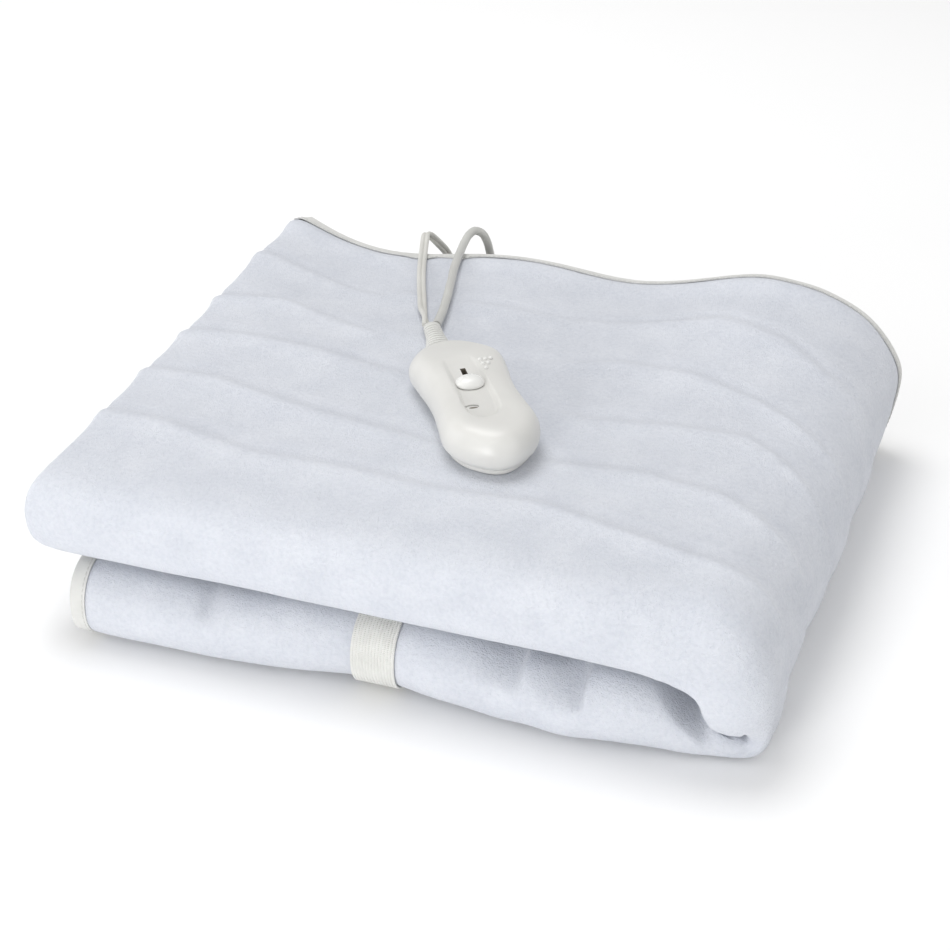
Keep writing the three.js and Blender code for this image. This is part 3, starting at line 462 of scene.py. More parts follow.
mainsLead = {
    "width": 6, "thickness": 3.2, "step": 2.2,
    "route": [
        (-65, 56.4, 109.4), (-69, 66.2, 108.2), (-74.4, 77.4, 106.3), (-80, 90, 104.9), (-85, 103, 104),
        (-89.4, 114, 103.4), (-95.6, 130.4, 100.6), (-103, 151, 98.2), (-110, 172, 96.2),
        (-114.6, 187, 96), (-118, 198.6, 96.9), (-119.7, 206, 97.2), (-118.4, 210.6, 94.4),
        (-113.4, 213, 88.4), (-108.8, 216.6, 80.6), (-101, 218.6, 62), (-94.4, 219.4, 44), (-90, 221, 27),
        (-88, 225.6, 13.4), (-87.4, 234, 6.6), (-87.2, 249.8, 5),
    ],
    "coil": {
        "turns": 6.25, "start": 0, "way": 1, "outer": 43.6, "inner": 29.2, "low": 5.1, "high": 11.4,
        "inward": (0, 2.8), "climb": (2.75, 3.35), "outward": (3.35, 6.1),
    },
    "tail": [(-151.4, 317.2, 8.4), (-163, 315.6, 6.2), (-178, 310, 3.8), (-192, 304, 4.4), (-204, 300, 6.2)],
}
padLead = {
    "diameter": 5.6, "around": 20, "step": 2.2,
    "route": [
        (-59.6, 60, 109.4), (-61.4, 70.3, 108.3), (-63.6, 82.7, 107.2), (-66.2, 94.7, 106.4),
        (-68.6, 106, 106.3), (-71, 116, 106.2), (-75, 132, 104.6), (-79.6, 149, 103.1), (-83, 166, 102.2),
        (-85.4, 180, 102), (-86.8, 192, 102.8), (-86.8, 201.4, 104), (-85, 208.6, 104), (-81, 212, 101),
        (-78.2, 213.2, 95.4), (-76.8, 214.8, 88), (-74.4, 216.6, 73), (-71.2, 218, 54), (-68.4, 218.6, 36),
        (-66.8, 220.6, 20), (-66, 225.4, 9.4), (-65.7, 233, 5.4), (-65.6, 241.5, 5),
    ],
    "coil": {
        "turns": 2.5, "start": 180, "way": -1, "outer": 33.7, "inner": 27.9, "low": 4.8, "high": 10.5,
        "inward": (0.66, 0.98), "climb": (1.72, 1.98), "outward": (2.04, 2.44),
    },
    "tail": [
        (2, 242.8, 10.4), (4.6, 227, 9.9), (10.4, 212, 9.3), (17.4, 197, 8.8), (22, 183, 8.6), (23, 173, 8.6),
    ],
}
coilPlaces = {"mains": coilMiddle, "lead": {"x": -32, "y": 262}}


def coilPoints(middle, coil):
    # turns wound inward on the floor, up at the middle, and outward again on top
    points = []
    perTurn = 24
    count = round(coil["turns"] * perTurn)
    for i in range(count + 1):
        turn = coil["turns"] * i / count
        angle = math.radians(coil["start"] + coil["way"] * 360 * turn)
        near = partWay(turn, *coil["inward"]) - partWay(turn, *coil["outward"])
        radius = mix(coil["outer"], coil["inner"], near)
        level = mix(coil["low"], coil["high"], smoothstep(turn, *coil["climb"]))
        points.append((middle["x"] + radius * math.cos(angle), middle["y"] + radius * math.sin(angle), level))
    return points


def cordPath(lead, middle):
    places = [*lead["route"], *coilPoints(middle, lead["coil"]), *lead["tail"]]
    return spline([Vector(p) * mm + shift for p in places], lead["step"] * mm)


def carriedSides(path, first):
    # a sideways direction that is carried along the path without any twist
    side = Vector(first)
    result = []
    for i in range(len(path)):
        ahead = headingAt(path, i)
        side = (side - ahead * side.dot(ahead)).normalized()
        result.append(side.copy())
    return result


def turnedSides(path, sides, keys):
    # keys say which way the flat cord's broad side runs at some distances, and it turns smoothly in between.
    # None keeps the turn of the key before it.
    lengths = runAlong(path)
    angles = []
    for distance, wanted in keys:
        i = min(range(len(path)), key=lambda k: abs(lengths[k] - distance))
        ahead = headingAt(path, i)
        if wanted is None:
            angles.append(angles[-1])
            continue
        flat = (wanted - ahead * wanted.dot(ahead)).normalized()
        angle = math.atan2(sides[i].cross(flat).dot(ahead), sides[i].dot(flat))
        if angles:                               # the cord looks the same half a turn on
            while angle - angles[-1] > math.pi / 2:
                angle -= math.pi
            while angle - angles[-1] < -math.pi / 2:
                angle += math.pi
        angles.append(angle)
    result = []
    for i, side in enumerate(sides):
        angle = angles[-1]
        for (a, _), (b, _), first, second in zip(keys, keys[1:], angles, angles[1:]):
            if a <= lengths[i] <= b:
                angle = mix(first, second, smoothstep(lengths[i], a, b))
                break
        if lengths[i] < keys[0][0]:
            angle = angles[0]
        result.append((Matrix.Rotation(angle, 3, headingAt(path, i)) @ side).normalized())
    return result


def twinProfile(lead):
    # two round wires side by side, moulded together with a groove between them
    lobe = lead["thickness"] / 2 * mm
    away = (lead["width"] / 2 - lead["thickness"] / 2) * mm
    meet = math.pi - math.acos(away / lobe)
    steps = 11
    arc = [mix(-meet, meet, i / steps) for i in range(steps + 1)]
    right = [(away + lobe * math.cos(a), lobe * math.sin(a)) for a in arc]
    left = [(-x, -y) for x, y in right]
    return right + left[1:-1]


def makeMains():
    path = cordPath(mainsLead, coilPlaces["mains"])
    total = pathLength(path)
    routeLength = pathLength([Vector(p) * mm for p in mainsLead["route"]])
    tailLength = pathLength([Vector(p) * mm for p in mainsLead["tail"]])
    across = Vector((0.93, 0.36, 0))
    slanted = Vector((0.66, 0.25, -0.7))
    onEdge = Vector((0.3, 0.1, -0.95))
    facingBack = Vector((0.44, 0.59, 0.67))      # down the far side, where its grooves show
    keys = [
        (0, slanted), (16 * mm, onEdge), (40 * mm, across), (150 * mm, None), (184 * mm, facingBack),
        (routeLength - 40 * mm, None), (routeLength + 6 * mm, up),
        (total - tailLength - 8 * mm, up), (total - 14 * mm, across),
    ]
    sides = turnedSides(path, carriedSides(path, across), keys)
    piece = sweep("mainsLead", path, twinProfile(mainsLead), sides)
    nodes = ["mains_lead", "mains_coil", "mains_tail"]
    return finishPiece(piece, "pad", nodes, twinSheath), path, total


def makePadLead():
    path = cordPath(padLead, coilPlaces["lead"])
    radius = padLead["diameter"] / 2 * mm
    profile = [(radius * math.cos(a), radius * math.sin(a)) for a in anglesAround(padLead["around"])]
    piece = sweep("padLead", path, profile, carriedSides(path, Vector((1, 0, 0))))
    nodes = ["pad_lead", "pad_lead_coil", "pad_lead_tail"]
    return finishPiece(piece, "pad", nodes, cordSheath), path, pathLength(path)


def makeTie(node, name):
    piece = copyNode(node, name)
    bevel(piece, 0.3 * mm, 50)
    smoothByAngle(piece, 40)
    return finishPiece(piece, "pad", [node], softPlastic)


def makePlug():
    # a moulded body and two plain blades
    body = copyNode("mains_plug", "mainsPlug")
    creaseCorners(body, 60)
    applyModifier(body, "SUBSURF", levels=2, render_levels=2)
    finishPiece(body, "pad", ["mains_plug"], softPlastic)
    blades = []
    for side in ("left", "right"):
        blade = copyNode(f"plug_blade_{side}", f"plugBlade{side.title()}")
        bevel(blade, 0.4 * mm, 30)
        smoothByAngle(blade, 40)
        blades.append(finishPiece(blade, "pad", [f"plug_blade_{side}"], bladeBrass))
    return body, blades


mainsCord, mainsPath, mainsLength = makeMains()
padCord, padPath, padLeadLength = makePadLead()
mainsTie = makeTie("mains_tie", "mainsTie")
padLeadTie = makeTie("pad_lead_tie", "padLeadTie")
plugBody, plugBlades = makePlug()
print("cords ready", round(mainsLength, 3), round(padLeadLength, 3))


# The pad, on the model's folds. Its shape is worked out in millimetres from the design's origin.

padCloth = {
    "flat": (0.76, 1.83),                        # metres
    "wave": 0.5, "waveScale": 24,                # a slow unevenness, and the nap's small one
    "nap": 0.16, "napScale": 240,
    "topFrom": 62, "sideFrom": 190,              # the outer cloth lies above and to the right of these
    # five wire channels: where each one crosses the given places along the pad
    "places": (-210, -165, -110, -60, 0, 60, 105, 150, 178, 204),
    "channels": [
        (130, 125, 112, 112, 113, 122, 128, 114, 94, 88),
        (66, 78, 57, 46, 45, 65, 61, 43, 24, 14),
        (18, 24, 18, 8, -4, -7, 0, 2, -16, -34),
        (-34, -32, -46, -55, -62, -58, -54, -62, -76, -84),
        (-86, -89, -102, -101, -104, -100, -111, -122, -126, -128),
    ],
    "crest": -6.75, "rise": 2.3, "frontReach": 9, "backReach": 4.6,
    "round": 1.5, "roundReach": 9, "farthest": 45,
    # the far edge swells beside its tape, except where the two cords press it down
    "swell": 3.6, "swellFrom": 140, "swellAt": 171, "swellReach": 8.5, "cordsAt": (-112, -85), "cordReach": 9,
    "droop": 0.5, "droopFrom": 176, "droopTo": 186, "top": 105,
}
creviceLine = [                                  # between the rolls, at the front: place and height
    (-220, 50), (100, 50), (125, 49.6), (141, 47.4), (152, 42.7), (161, 35), (168, 26.7), (175, 19.1),
    (181, 16.3), (200, 14),
]
front = {
    "from": 95, "full": 135, "left": -125,       # how far forward the front's own shapes start
    "edgeLow": 4, "edgeHigh": 26,                # how far up the upper roll its lower edge's shape fades out
}
hollows = [                                      # under the upper roll: each deepens to the right, then ends
    {"from": 34, "to": 68.5, "end": 71.5, "depth": 17, "low": 29, "high": 45},
    {"from": 74, "to": 103.5, "end": 106.5, "depth": 19, "low": 25, "high": 42},
    {"from": -119, "to": -113, "end": -101, "depth": 9, "low": 29, "high": 46},
]
deepening = 1.4                                  # more than 1: slow at first
cornerEdge = [                                   # the upper roll's lower edge near the corner: up, then down
    (144, 0), (154, 3), (161, 7.5), (165.5, 10), (167.5, 7), (169.5, 0), (173, -3.6), (178, -2), (186, 0),
]
cornerHollow = {"from": 137, "to": 158, "end": 178, "depth": 15, "drop": 2, "slope": 0.75, "lowest": 13}
finer = {"places": [(26, 112), (-123, -97), (138, 192)], "forward": -138, "low": 12, "high": 62}
control = {"x": -4.6, "y": -31.3, "heading": -56.4, "seat": 104.5, "height": 26.6, "around": 168}
pressed = {                                      # flat under the hand control and the cords' start
    "middle": -18, "halfLength": 74, "halfWidth": 14, "from": 10, "to": 24,
    "cordsX": -88, "cordsY": 110, "lean": 0.3, "cordsBack": 40, "cordsFrom": 22, "cordsTo": 34,
}


def lookUp(rows, at):
    places = [row[0] for row in rows]
    values = [row[1] for row in rows]
    return float(np.interp(at, places, values))


def channelRise(x, y):
    # a long slope up to each channel's crest, and a short steep one behind it
    total = 0.0
    for line in padCloth["channels"]:
        away = y - float(np.interp(x, padCloth["places"], line))
        if abs(away) > padCloth["farthest"]:
            continue
        if abs(away) < padCloth["roundReach"]:
            total -= padCloth["round"] * (0.5 + 0.5 * math.cos(math.pi * away / padCloth["roundReach"]))
        past = away - padCloth["crest"]
        reach = padCloth["frontReach"] if past < 0 else padCloth["backReach"]
        vary = 0.85 + 0.45 * noise.noise(Vector((x * 0.02, line[0], 0)))
        total += padCloth["rise"] * vary * math.exp(-abs(past) / reach)
    return total


def underControl(place):
    # 1 under the hand control and its cords' start, 0 away from them
    x, y = place.x - control["x"], place.y - control["y"]
    turn = math.radians(control["heading"])
    along = x * math.cos(turn) + y * math.sin(turn) - pressed["middle"]
    aside = -x * math.sin(turn) + y * math.cos(turn)
    far = math.hypot(max(abs(along) - pressed["halfLength"], 0), max(abs(aside) - pressed["halfWidth"], 0))
    flat = 1 - smoothstep(far, pressed["from"], pressed["to"])
    if place.y < pressed["cordsBack"]:
        return flat
    away = abs(place.x - pressed["cordsX"] + (place.y - pressed["cordsY"]) * pressed["lean"])
    return max(flat, 1 - smoothstep(away, pressed["cordsFrom"], pressed["cordsTo"]))


def edgeSwell(place):
    if place.y < padCloth["swellFrom"]:
        return 0.0
    x, y, z = place
    rise = padCloth["swell"] * math.exp(-((y - padCloth["swellAt"]) / padCloth["swellReach"]) ** 2)
    for cord in padCloth["cordsAt"]:
        rise *= 1 - math.exp(-((x - cord) / padCloth["cordReach"]) ** 2)
    rise -= padCloth["droop"] * smoothstep(y, padCloth["droopFrom"], padCloth["droopTo"])
    return rise * partWay(z, 0, padCloth["top"])


def swellEdge(point):
    place = (point - shift) / mm
    return point + up * edgeSwell(place) * mm


def shapeFront(place):
    # the hollows under the upper roll, and the way it hangs down at the corner
    x, y, z = place
    move = Vector((0, 0, 0))
    if -y < front["from"] or x < front["left"]:
        return move
    near = smoothstep(-y, front["from"], front["full"])
    gap = z - lookUp(creviceLine, x)
    if gap > 0:
        move.z += lookUp(cornerEdge, x) * near * (1 - smoothstep(gap, front["edgeLow"], front["edgeHigh"]))
        return move
    for hollow in hollows:
        if hollow["from"] < x < hollow["end"]:
            deep = ((x - hollow["from"]) / (hollow["to"] - hollow["from"])) ** deepening
            deep = min(deep, 1) * (1 - smoothstep(x, hollow["to"], hollow["end"]))
            move.y += hollow["depth"] * deep * smoothstep(z, hollow["low"], hollow["high"]) * near
    if cornerHollow["from"] < x < cornerHollow["end"]:
        deep = smoothstep(x, cornerHollow["from"], cornerHollow["to"])
        deep *= 1 - smoothstep(x, cornerHollow["to"], cornerHollow["end"])
        low = min((x - cornerHollow["from"]) * cornerHollow["slope"], cornerHollow["lowest"])
        deep *= smoothstep(gap, -low - 3, -low * 0.4)
        move.y += cornerHollow["depth"] * deep * near
        move.z -= cornerHollow["drop"] * deep * near
    return move


def finerFront(piece):
    # smaller faces where the hollows and the corner need them
    activate(piece)
    bpy.ops.object.mode_set(mode="EDIT")
    bpy.ops.mesh.select_mode(type="FACE")
    bpy.ops.mesh.select_all(action="DESELECT")
    shape = bmesh.from_edit_mesh(piece.data)
    for face in shape.faces:
        x, y, z = (face.calc_center_median() - shift) / mm
        wide = any(low < x < high for low, high in finer["places"])
        face.select_set(wide and y < finer["forward"] and finer["low"] < z < finer["high"])
    bmesh.update_edit_mesh(piece.data)
    bpy.ops.mesh.subdivide(number_cuts=1, smoothness=0)
    bpy.ops.mesh.select_mode(type="VERT")
    bpy.ops.object.mode_set(mode="OBJECT")


def makePad():
    piece = copyNode("pad", "padFleece")
    applyModifier(piece, "SUBSURF", levels=2, render_levels=2)
    finerFront(piece)
    mesh = piece.data
    tree = surfaceTree(piece)
    normals = [v.normal.copy() for v in mesh.vertices]
    for vertex, normal in zip(mesh.vertices, normals):
        point = vertex.co.copy()
        place = (point - shift) / mm
        rise = noise.noise(point * padCloth["waveScale"]) * padCloth["wave"]
        rise += noise.noise(point * padCloth["napScale"]) * padCloth["nap"]
        outside = normal.z > 0.25 and place.z > padCloth["topFrom"]
        outside = outside or normal.x > 0.35 and place.x > padCloth["sideFrom"]
        if outside and tree.ray_cast(point + normal * 1.5 * mm, normal, 0.2)[0] is None:
            rise += channelRise(place.x, place.y) * (1 - underControl(place))
        moved = point + (normal * rise + shapeFront(place)) * mm
        vertex.co = moved + up * edgeSwell(place) * mm
    return finishPiece(piece, "pad", ["pad"], fleece)


padPiece = makePad()
print("pad ready", len(padPiece.data.polygons))


# Binding tapes, and the stitches along their hems

stitch = {"length": 2.5, "pitch": 3.5, "width": 0.55, "height": 0.4, "inside": 1.7}


def makeTape(node, name):
    piece = copyNode(node, name)
    creaseCorners(piece, 34)
    applyModifier(piece, "SUBSURF", levels=2, render_levels=2)
    bevel(piece, 0.22 * mm, 45)
    for vertex in piece.data.vertices:
        vertex.co = swellEdge(vertex.co)
    smoothByAngle(piece, 40)
    return finishPiece(piece, "pad", [node], tapeCloth)


def hemLines(node, padTree, inward):
    # the tape's outer hem corners, chained along its long edges; inward points from the edge to the hem
    bare = copyNode(node, "bareTape")
    shape = bmesh.new()
    shape.from_mesh(bare.data)
    bpy.data.objects.remove(bare)
    places = [v.co.dot(inward) for v in shape.verts]
    middle = (min(places) + max(places)) / 2 + 0.001
    chosen = {
        v for v in shape.verts
        if v.co.dot(inward) > middle and (padTree.find_nearest(v.co)[3] or 0) > 0.0007
    }
    lines = []
    while chosen:
        ends = [v for v in chosen if sum(e.other_vert(v) in chosen for e in v.link_edges) < 2]
        here = ends[0] if ends else next(iter(chosen))
        line = []
        while here:
            line.append(here.co.copy())
            chosen.discard(here)
            here = next((e.other_vert(here) for e in here.link_edges if e.other_vert(here) in chosen), None)
        if len(line) > 3:
            lines.append(line)
    shape.free()
    return lines


def makeStitches(name, tape, node, inward):
    tree = surfaceTree(tape)
    padTree = surfaceTree(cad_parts["pad"])
    points, faces = [], []
    ring = [(0, 1), (0.87, 0.5), (0.87, -0.5), (0, -1), (-0.87, -0.5), (-0.87, 0.5)]
    for line in hemLines(node, padTree, inward):
        path = evenly([swellEdge(p) for p in spline(line, 0.002)], stitch["pitch"] * mm)
        for i, place in enumerate(path[1:-1], start=1):
            ahead = (path[i + 1] - path[i - 1]).normalized()
            on, normal, _, _ = tree.find_nearest(place - inward * stitch["inside"] * mm)
            side = normal.cross(ahead).normalized()
            normal = ahead.cross(side)
            half = stitch["length"] / 2 * mm
            for along, size in ((-1, 0.25), (-0.6, 0.9), (0.6, 0.9), (1, 0.25)):
                for a, b in ring:
                    points.append(
                        on + ahead * half * along
                        + side * a * size * stitch["width"] / 2 * mm
                        + normal * (b * size * stitch["height"] / 2 + 0.08) * mm
                    )
            faces += tubeFaces(len(points) - 4 * len(ring), len(ring), 4)
    piece = meshPiece(name, points, faces)
    bpy.ops.object.shade_smooth()
    print(name, len(faces))
    # the stitches' darker thread is painted shade of the hem's groove
    return finishPiece(piece, "pad", [], threadWithPaintedHemShade)


tapes = {
    "tape_long_outer": ("tapeLongOuter", Vector((0, -1, 0))),
    "tape_long_inner": ("tapeLongInner", Vector((0, -1, 0))),
    "tape_end_outer": ("tapeEndOuter", Vector((1, 0, 0))),
    "tape_end_inner": ("tapeEndInner", Vector((1, 0, 0))),
}
hems = []
for node, (name, inward) in tapes.items():
    tape = makeTape(node, name)
    hems += [tape, makeStitches(name + "Stitches", tape, node, inward)]
print("tapes ready")


# Elastic strap, its ribs running along it

strap = {
    "flatWidth": 0.0254, "thickness": 1.2, "edge": 0.2, "turn": 45, "step": 2.5,
    "ribs": 14, "perRib": 5, "ribHeight": 0.5,
}


def strapPath():
    # the middle line of the model's strap: its corners are paired through its thickness at one side,
    # then sorted round the lower roll's front
    bare = copyNode("strap", "bareStrap")
    corners = [v.co.copy() for v in bare.data.vertices]
    bpy.data.objects.remove(bare)
    low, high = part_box("strap")
    middle = (low[0] + high[0]) / 2
    centre = Vector((middle, low[1] + strap["turn"] * mm, (low[2] + high[2]) / 2))
    right = [p for p in corners if p.x > middle]
    halves = []
    while right:
        p = right.pop()
        q = min(right, key=lambda other: (other - p).length)
        right.remove(q)
        halves.append(Vector((middle, (p.y + q.y) / 2, (p.z + q.z) / 2)))
    around = [(math.atan2(p.z - centre.z, p.y - centre.y) % (2 * math.pi), p) for p in halves]
    return [p for _, p in sorted(around, key=lambda pair: -pair[0])], high[0] - low[0]


def makeStrap():
    line, width = strapPath()
    path = spline(line, strap["step"] * mm)
    half = strap["thickness"] / 2 * mm
    edge = strap["edge"] * mm
    count = strap["ribs"] * strap["perRib"]
    outer = []
    for i in range(count + 1):
        across = i / count
        rise = abs(math.sin(math.pi * across * strap["ribs"])) ** 0.7
        outer.append((width * (0.5 - across), half - strap["ribHeight"] * mm * (1 - rise)))
    profile = outer + [(-width / 2, -half + edge), (-width / 2 + edge, -half)]
    profile += [(width / 2 - edge, -half), (width / 2, -half + edge)]
    sides = [Vector((1, 0, 0))] * len(path)
    piece = sweep("strapElastic", path, profile, sides)
    return finishPiece(piece, "pad", ["strap"], elastic), path


strapPiece, strapLine = makeStrap()
print("strap ready", len(strapPiece.data.polygons))


# Hand control, in its own axes: u from the cords to the near end, v to the right, w up. Where it lies is
# in the dictionary called control, above the pad.

housing = {
    "outline": [
        (-69, 0), (-67, 9), (-60.5, 17.5), (-50, 24.5), (-38, 28.5), (-22, 27.6), (-6, 25.9), (8, 25.6),
        (24, 26.8), (42, 28), (55, 23.5), (64, 15.5), (69.5, 7.5), (71, 0),
    ],
    "shell": [
        (4.2, 3.9), (1.6, 6.5), (0.2, 11), (0.3, 15.5), (1.8, 19.6), (4, 23), (7, 25.2), (11, 26.3),
        (14.5, 26.6),
    ],
    "base": [(6.5, 0), (5.2, 1.2), (4.7, 3.6)],
    "lowEnd": (-72, -18, 0.67), "ridgeFrom": -46, "ridgeTo": 48, "crown": 0.25, "topRings": 26,
}
recess = {
    "from": -32, "to": 44.5, "depth": 4.2, "middle": -2.6, "wallOut": 1.2, "wallIn": 2.2,
    "reach": (-40, 52, 20), "above": 15,         # only the shell within these can be sunk
    "outline": [
        (-32, -3.5), (-30, 3), (-22, 6.4), (-5, 7.2), (15, 7.4), (31, 7.2), (39, 5), (43.6, 0.5), (44.5, -4),
        (42, -9.4), (33, -12.2), (15, -12.2), (-5, -12.2), (-22, -11.8), (-30, -9),
    ],
}
slot = {"from": -12.6, "length": 20, "width": 3.2, "depth": 3.5}
lamp = {
    "u": 27.5, "v": -7.4, "length": 3.6, "width": 7.4, "depth": 1.2, "around": 48, "gap": 0.3,
    "rings": [(1, -1.2), (1, -0.7), (0.96, -0.5), (0.86, -0.42), (0.6, -0.36), (0.3, -0.33), (0, -0.32)],
    "slit": (1.5, 5.2, 0.5), "slitU": 28.25, "slitAside": 0.7, "slitLevel": -0.32,
}
pips = {
    "radius": 1.3, "at": -18.4, "side": 9.2, "w": 26.75, "pitchSide": 3.2, "pitchAlong": 5.4, "shift": 0.4,
}
knob = {
    "at": 4.5, "length": 13.4, "width": 16.4, "gap": 0.3, "around": 64,
    "rings": [
        (0.96, 0), (1, 0.35), (1, 0.8), (0.965, 1.5), (0.9, 2.3), (0.79, 3.15), (0.64, 3.9), (0.44, 4.45),
        (0.22, 4.65), (0.0, 4.7),
    ],
    "stem": (5, 2.4, 3.0),
}
boot = {
    "from": -66.5, "length": 39, "side": -2, "endSide": 1.4, "width": 14, "height": 10, "endWidth": 10.8,
    "endHeight": 7.4, "w": 5.9, "endW": 5, "rings": 10, "ringsFrom": 5.5, "pitch": 3.1, "ringDepth": 1.05,
    "around": 40, "flare": 4, "flareLength": 24,
    "rib": [(-0.12, None), (0.32, None), (0.62, -0.12), (1.2, 0), (1.9, 0)],   # None: the groove's floor
}
turnControl = Matrix.Rotation(math.radians(control["heading"]), 4, "Z")
controlSeat = Vector((control["x"] * mm, control["y"] * mm, control["seat"] * mm)) + shift
placeControl = Matrix.Translation(controlSeat) @ turnControl @ Matrix.Scale(mm, 4)


def onControl(u, v, w):
    return placeControl @ Vector((u, v, w))


def evenRing(points, count):
    # a closed smooth outline as evenly spaced points, starting at its first one
    fine = spline([Vector((*p, 0)) for p in points], 0.4, closed=True)
    return evenly(fine, pathLength(fine) / count)[:count]


housingOutline = evenRing(
    housing["outline"] + [(u, -v) for u, v in reversed(housing["outline"][1:-1])], control["around"]
)
recessOutline = evenRing(recess["outline"], 120)


def insetRing(outline, inset):
    count = len(outline)
    ring = []
    for i, p in enumerate(outline):
        ahead = (outline[(i + 1) % count] - outline[i - 1]).normalized()
        ring.append((p.x + ahead.y * inset, p.y - ahead.x * inset))
    return ring


def lowEndLevel(u, w):
    start, end, share = housing["lowEnd"]
    low = mix(share, 1, smoothstep(u, start, end))
    return w * mix(1, low, smoothstep(w, 4, 6.5))


def smoothRows(rows, count):
    path = spline([Vector((*row, 0)) for row in rows], 0.3)
    return [(p.x, p.y) for p in evenly(path, pathLength(path) / count)]


recessX = np.array([p.x for p in recessOutline])
recessY = np.array([p.y for p in recessOutline])


def insideRecess(u, v):
    # signed distance to the recess's outline, more than 0 inside it
    nextX, nextY = np.roll(recessX, -1), np.roll(recessY, -1)
    dx, dy = nextX - recessX, nextY - recessY
    share = np.clip(((u - recessX) * dx + (v - recessY) * dy) / (dx * dx + dy * dy), 0, 1)
    away = np.hypot(u - recessX - share * dx, v - recessY - share * dy).min()
    meets = dx * (v - recessY) / np.where(dy == 0, 1e-9, dy) + recessX
    crosses = ((recessY > v) != (nextY > v)) & (u < meets)
    return away if crosses.sum() % 2 else -away


def recessFloor(u):
    return control["height"] - recess["depth"] * partWay(u, recess["from"], recess["to"])


def makeHousingTop():
    rows = smoothRows(housing["shell"], 26)
    rings = []
    for inset, w in rows:
        ring = insetRing(housingOutline, inset)
        rings.append([(u, v, lowEndLevel(u, w)) for u, v in ring])
    rim = rings[-1]
    for i in range(1, housing["topRings"] + 1):
        share = i / housing["topRings"]
        ring = []
        for u, v, _ in rim:
            ridge = min(max(u, housing["ridgeFrom"]), housing["ridgeTo"])
            u1, v1 = mix(u, ridge, share), v * (1 - share)
            w = control["height"] + housing["crown"] * math.sin(share * math.pi / 2)
            ring.append((u1, v1, lowEndLevel(u1, w)))
        rings.append(ring)
    sunk = []
    start, end, aside = recess["reach"]
    for ring in rings:
        row = []
        for u, v, w in ring:
            if w > recess["above"] and start < u < end and abs(v) < aside:
                depth = insideRecess(u, v)
                wall = smoothstep(depth, -recess["wallOut"], recess["wallIn"])
                w = mix(w, min(w, recessFloor(u)), wall)
            row.append(onControl(u, v, w))
        sunk.append(row)
    piece = ringStack("housingTop", sunk)
    cutOpenings(piece)
    shellFaces = len(piece.data.polygons)
    addPips(piece)
    finishPiece(piece, "pad", ["housing_top"], housingPlastic)
    piece.data.materials.append(slotShade)
    # the pips get the knob's lighter colour as a painted highlight, so they read as lit domes
    piece.data.materials.append(knobPlasticAndPaintedPipHighlight)
    back = placeControl.inverted()
    for polygon in piece.data.polygons:
        u, v, w = back @ polygon.center
        inSlot = slot["from"] - 0.2 < u < slot["from"] + slot["length"] + 0.2
        inSlot = inSlot and abs(v - recess["middle"]) < slot["width"] / 2 + 0.1
        inSlot = inSlot and recess["above"] < w < recessFloor(u) - 0.15
        polygon.material_index = 2 if polygon.index >= shellFaces else int(inSlot)


def combine(piece, other, operation):
    applyModifier(piece, "BOOLEAN", operation=operation, object=other, solver="EXACT")
    bpy.data.objects.remove(other)


def placeLocal(piece):
    piece.data.transform(placeControl)
    piece.matrix_world = Matrix.Identity(4)


def localBox(size, at):
    clearSelection()
    bpy.ops.mesh.primitive_cube_add(size=1)
    box = bpy.context.object
    box.scale = size
    bpy.ops.object.transform_apply(location=False, rotation=False, scale=True)
    box.data.transform(Matrix.Translation(at))
    placeLocal(box)
    return box


def cutOpenings(piece):
    # the knob's slot, the lamp's oval and the boot's socket
    middle = slot["from"] + slot["length"] / 2
    size = (slot["length"], slot["width"], slot["depth"] * 2)
    combine(piece, localBox(size, (middle, recess["middle"], recessFloor(middle))), "DIFFERENCE")
    clearSelection()
    bpy.ops.mesh.primitive_cylinder_add(vertices=lamp["around"], radius=1, depth=6)
    oval = bpy.context.object
    gap = lamp["gap"]
    oval.data.transform(Matrix.Diagonal((lamp["length"] / 2 + gap, lamp["width"] / 2 + gap, 1, 1)))
    floor = recessFloor(lamp["u"])
    oval.data.transform(Matrix.Translation((lamp["u"], lamp["v"], floor - lamp["depth"] - gap + 3)))
    placeLocal(oval)
    combine(piece, oval, "DIFFERENCE")
    combine(piece, ringStack("socket", bootRings(margin=0.3, smooth=True)[:6]), "DIFFERENCE")
    smoothByAngle(piece, 38)


def addPips(piece):
    dots = []
    for row in range(3):
        for column in range(3 - row):
            clearSelection()
            bpy.ops.mesh.primitive_uv_sphere_add(segments=20, ring_count=12, radius=pips["radius"])
            dot = bpy.context.object
            dot.data.transform(Matrix.Translation((
                pips["at"] + row * pips["pitchAlong"],
                pips["side"] + column * pips["pitchSide"] + row * pips["shift"],
                pips["w"],
            )))
            placeLocal(dot)
            bpy.ops.object.shade_smooth()
            dots.append(dot)
    activate(piece)
    for dot in dots:
        dot.select_set(True)
    bpy.ops.object.join()


def makeHousingBase():
    rows = smoothRows(housing["base"], 8)
    rings = [[onControl(u, v, w) for u, v in insetRing(housingOutline, inset)] for inset, w in rows]
    piece = ringStack("housingBase", rings)
    smoothByAngle(piece, 40)
    finishPiece(piece, "pad", ["housing_base"], housingPlastic)


def makeKnob():
    slope = math.atan2(recess["depth"], recess["to"] - recess["from"])
    tilt = Matrix.Rotation(slope, 4, "Y")
    lift = recessFloor(knob["at"]) + knob["gap"]
    rings = []
    for size, w in knob["rings"]:
        ring = []
        for angle in anglesAround(knob["around"]):
            lens = abs(math.sin(angle)) ** 0.8 * math.copysign(1, math.sin(angle))
            point = tilt @ Vector((
                size * lens * knob["length"] / 2, size * math.cos(angle) * knob["width"] / 2, w,
            ))
            ring.append(onControl(point.x + knob["at"], point.y + recess["middle"], point.z + lift))
        rings.append(ring)
    piece = ringStack("sliderKnob", rings)
    stem = localBox(knob["stem"], (knob["at"], recess["middle"], lift - knob["stem"][2] / 2 + 0.5))
    combine(piece, stem, "UNION")
    smoothByAngle(piece, 45)
    finishPiece(piece, "slider", ["slider_knob"], knobPlasticAndPaintedPipHighlight)


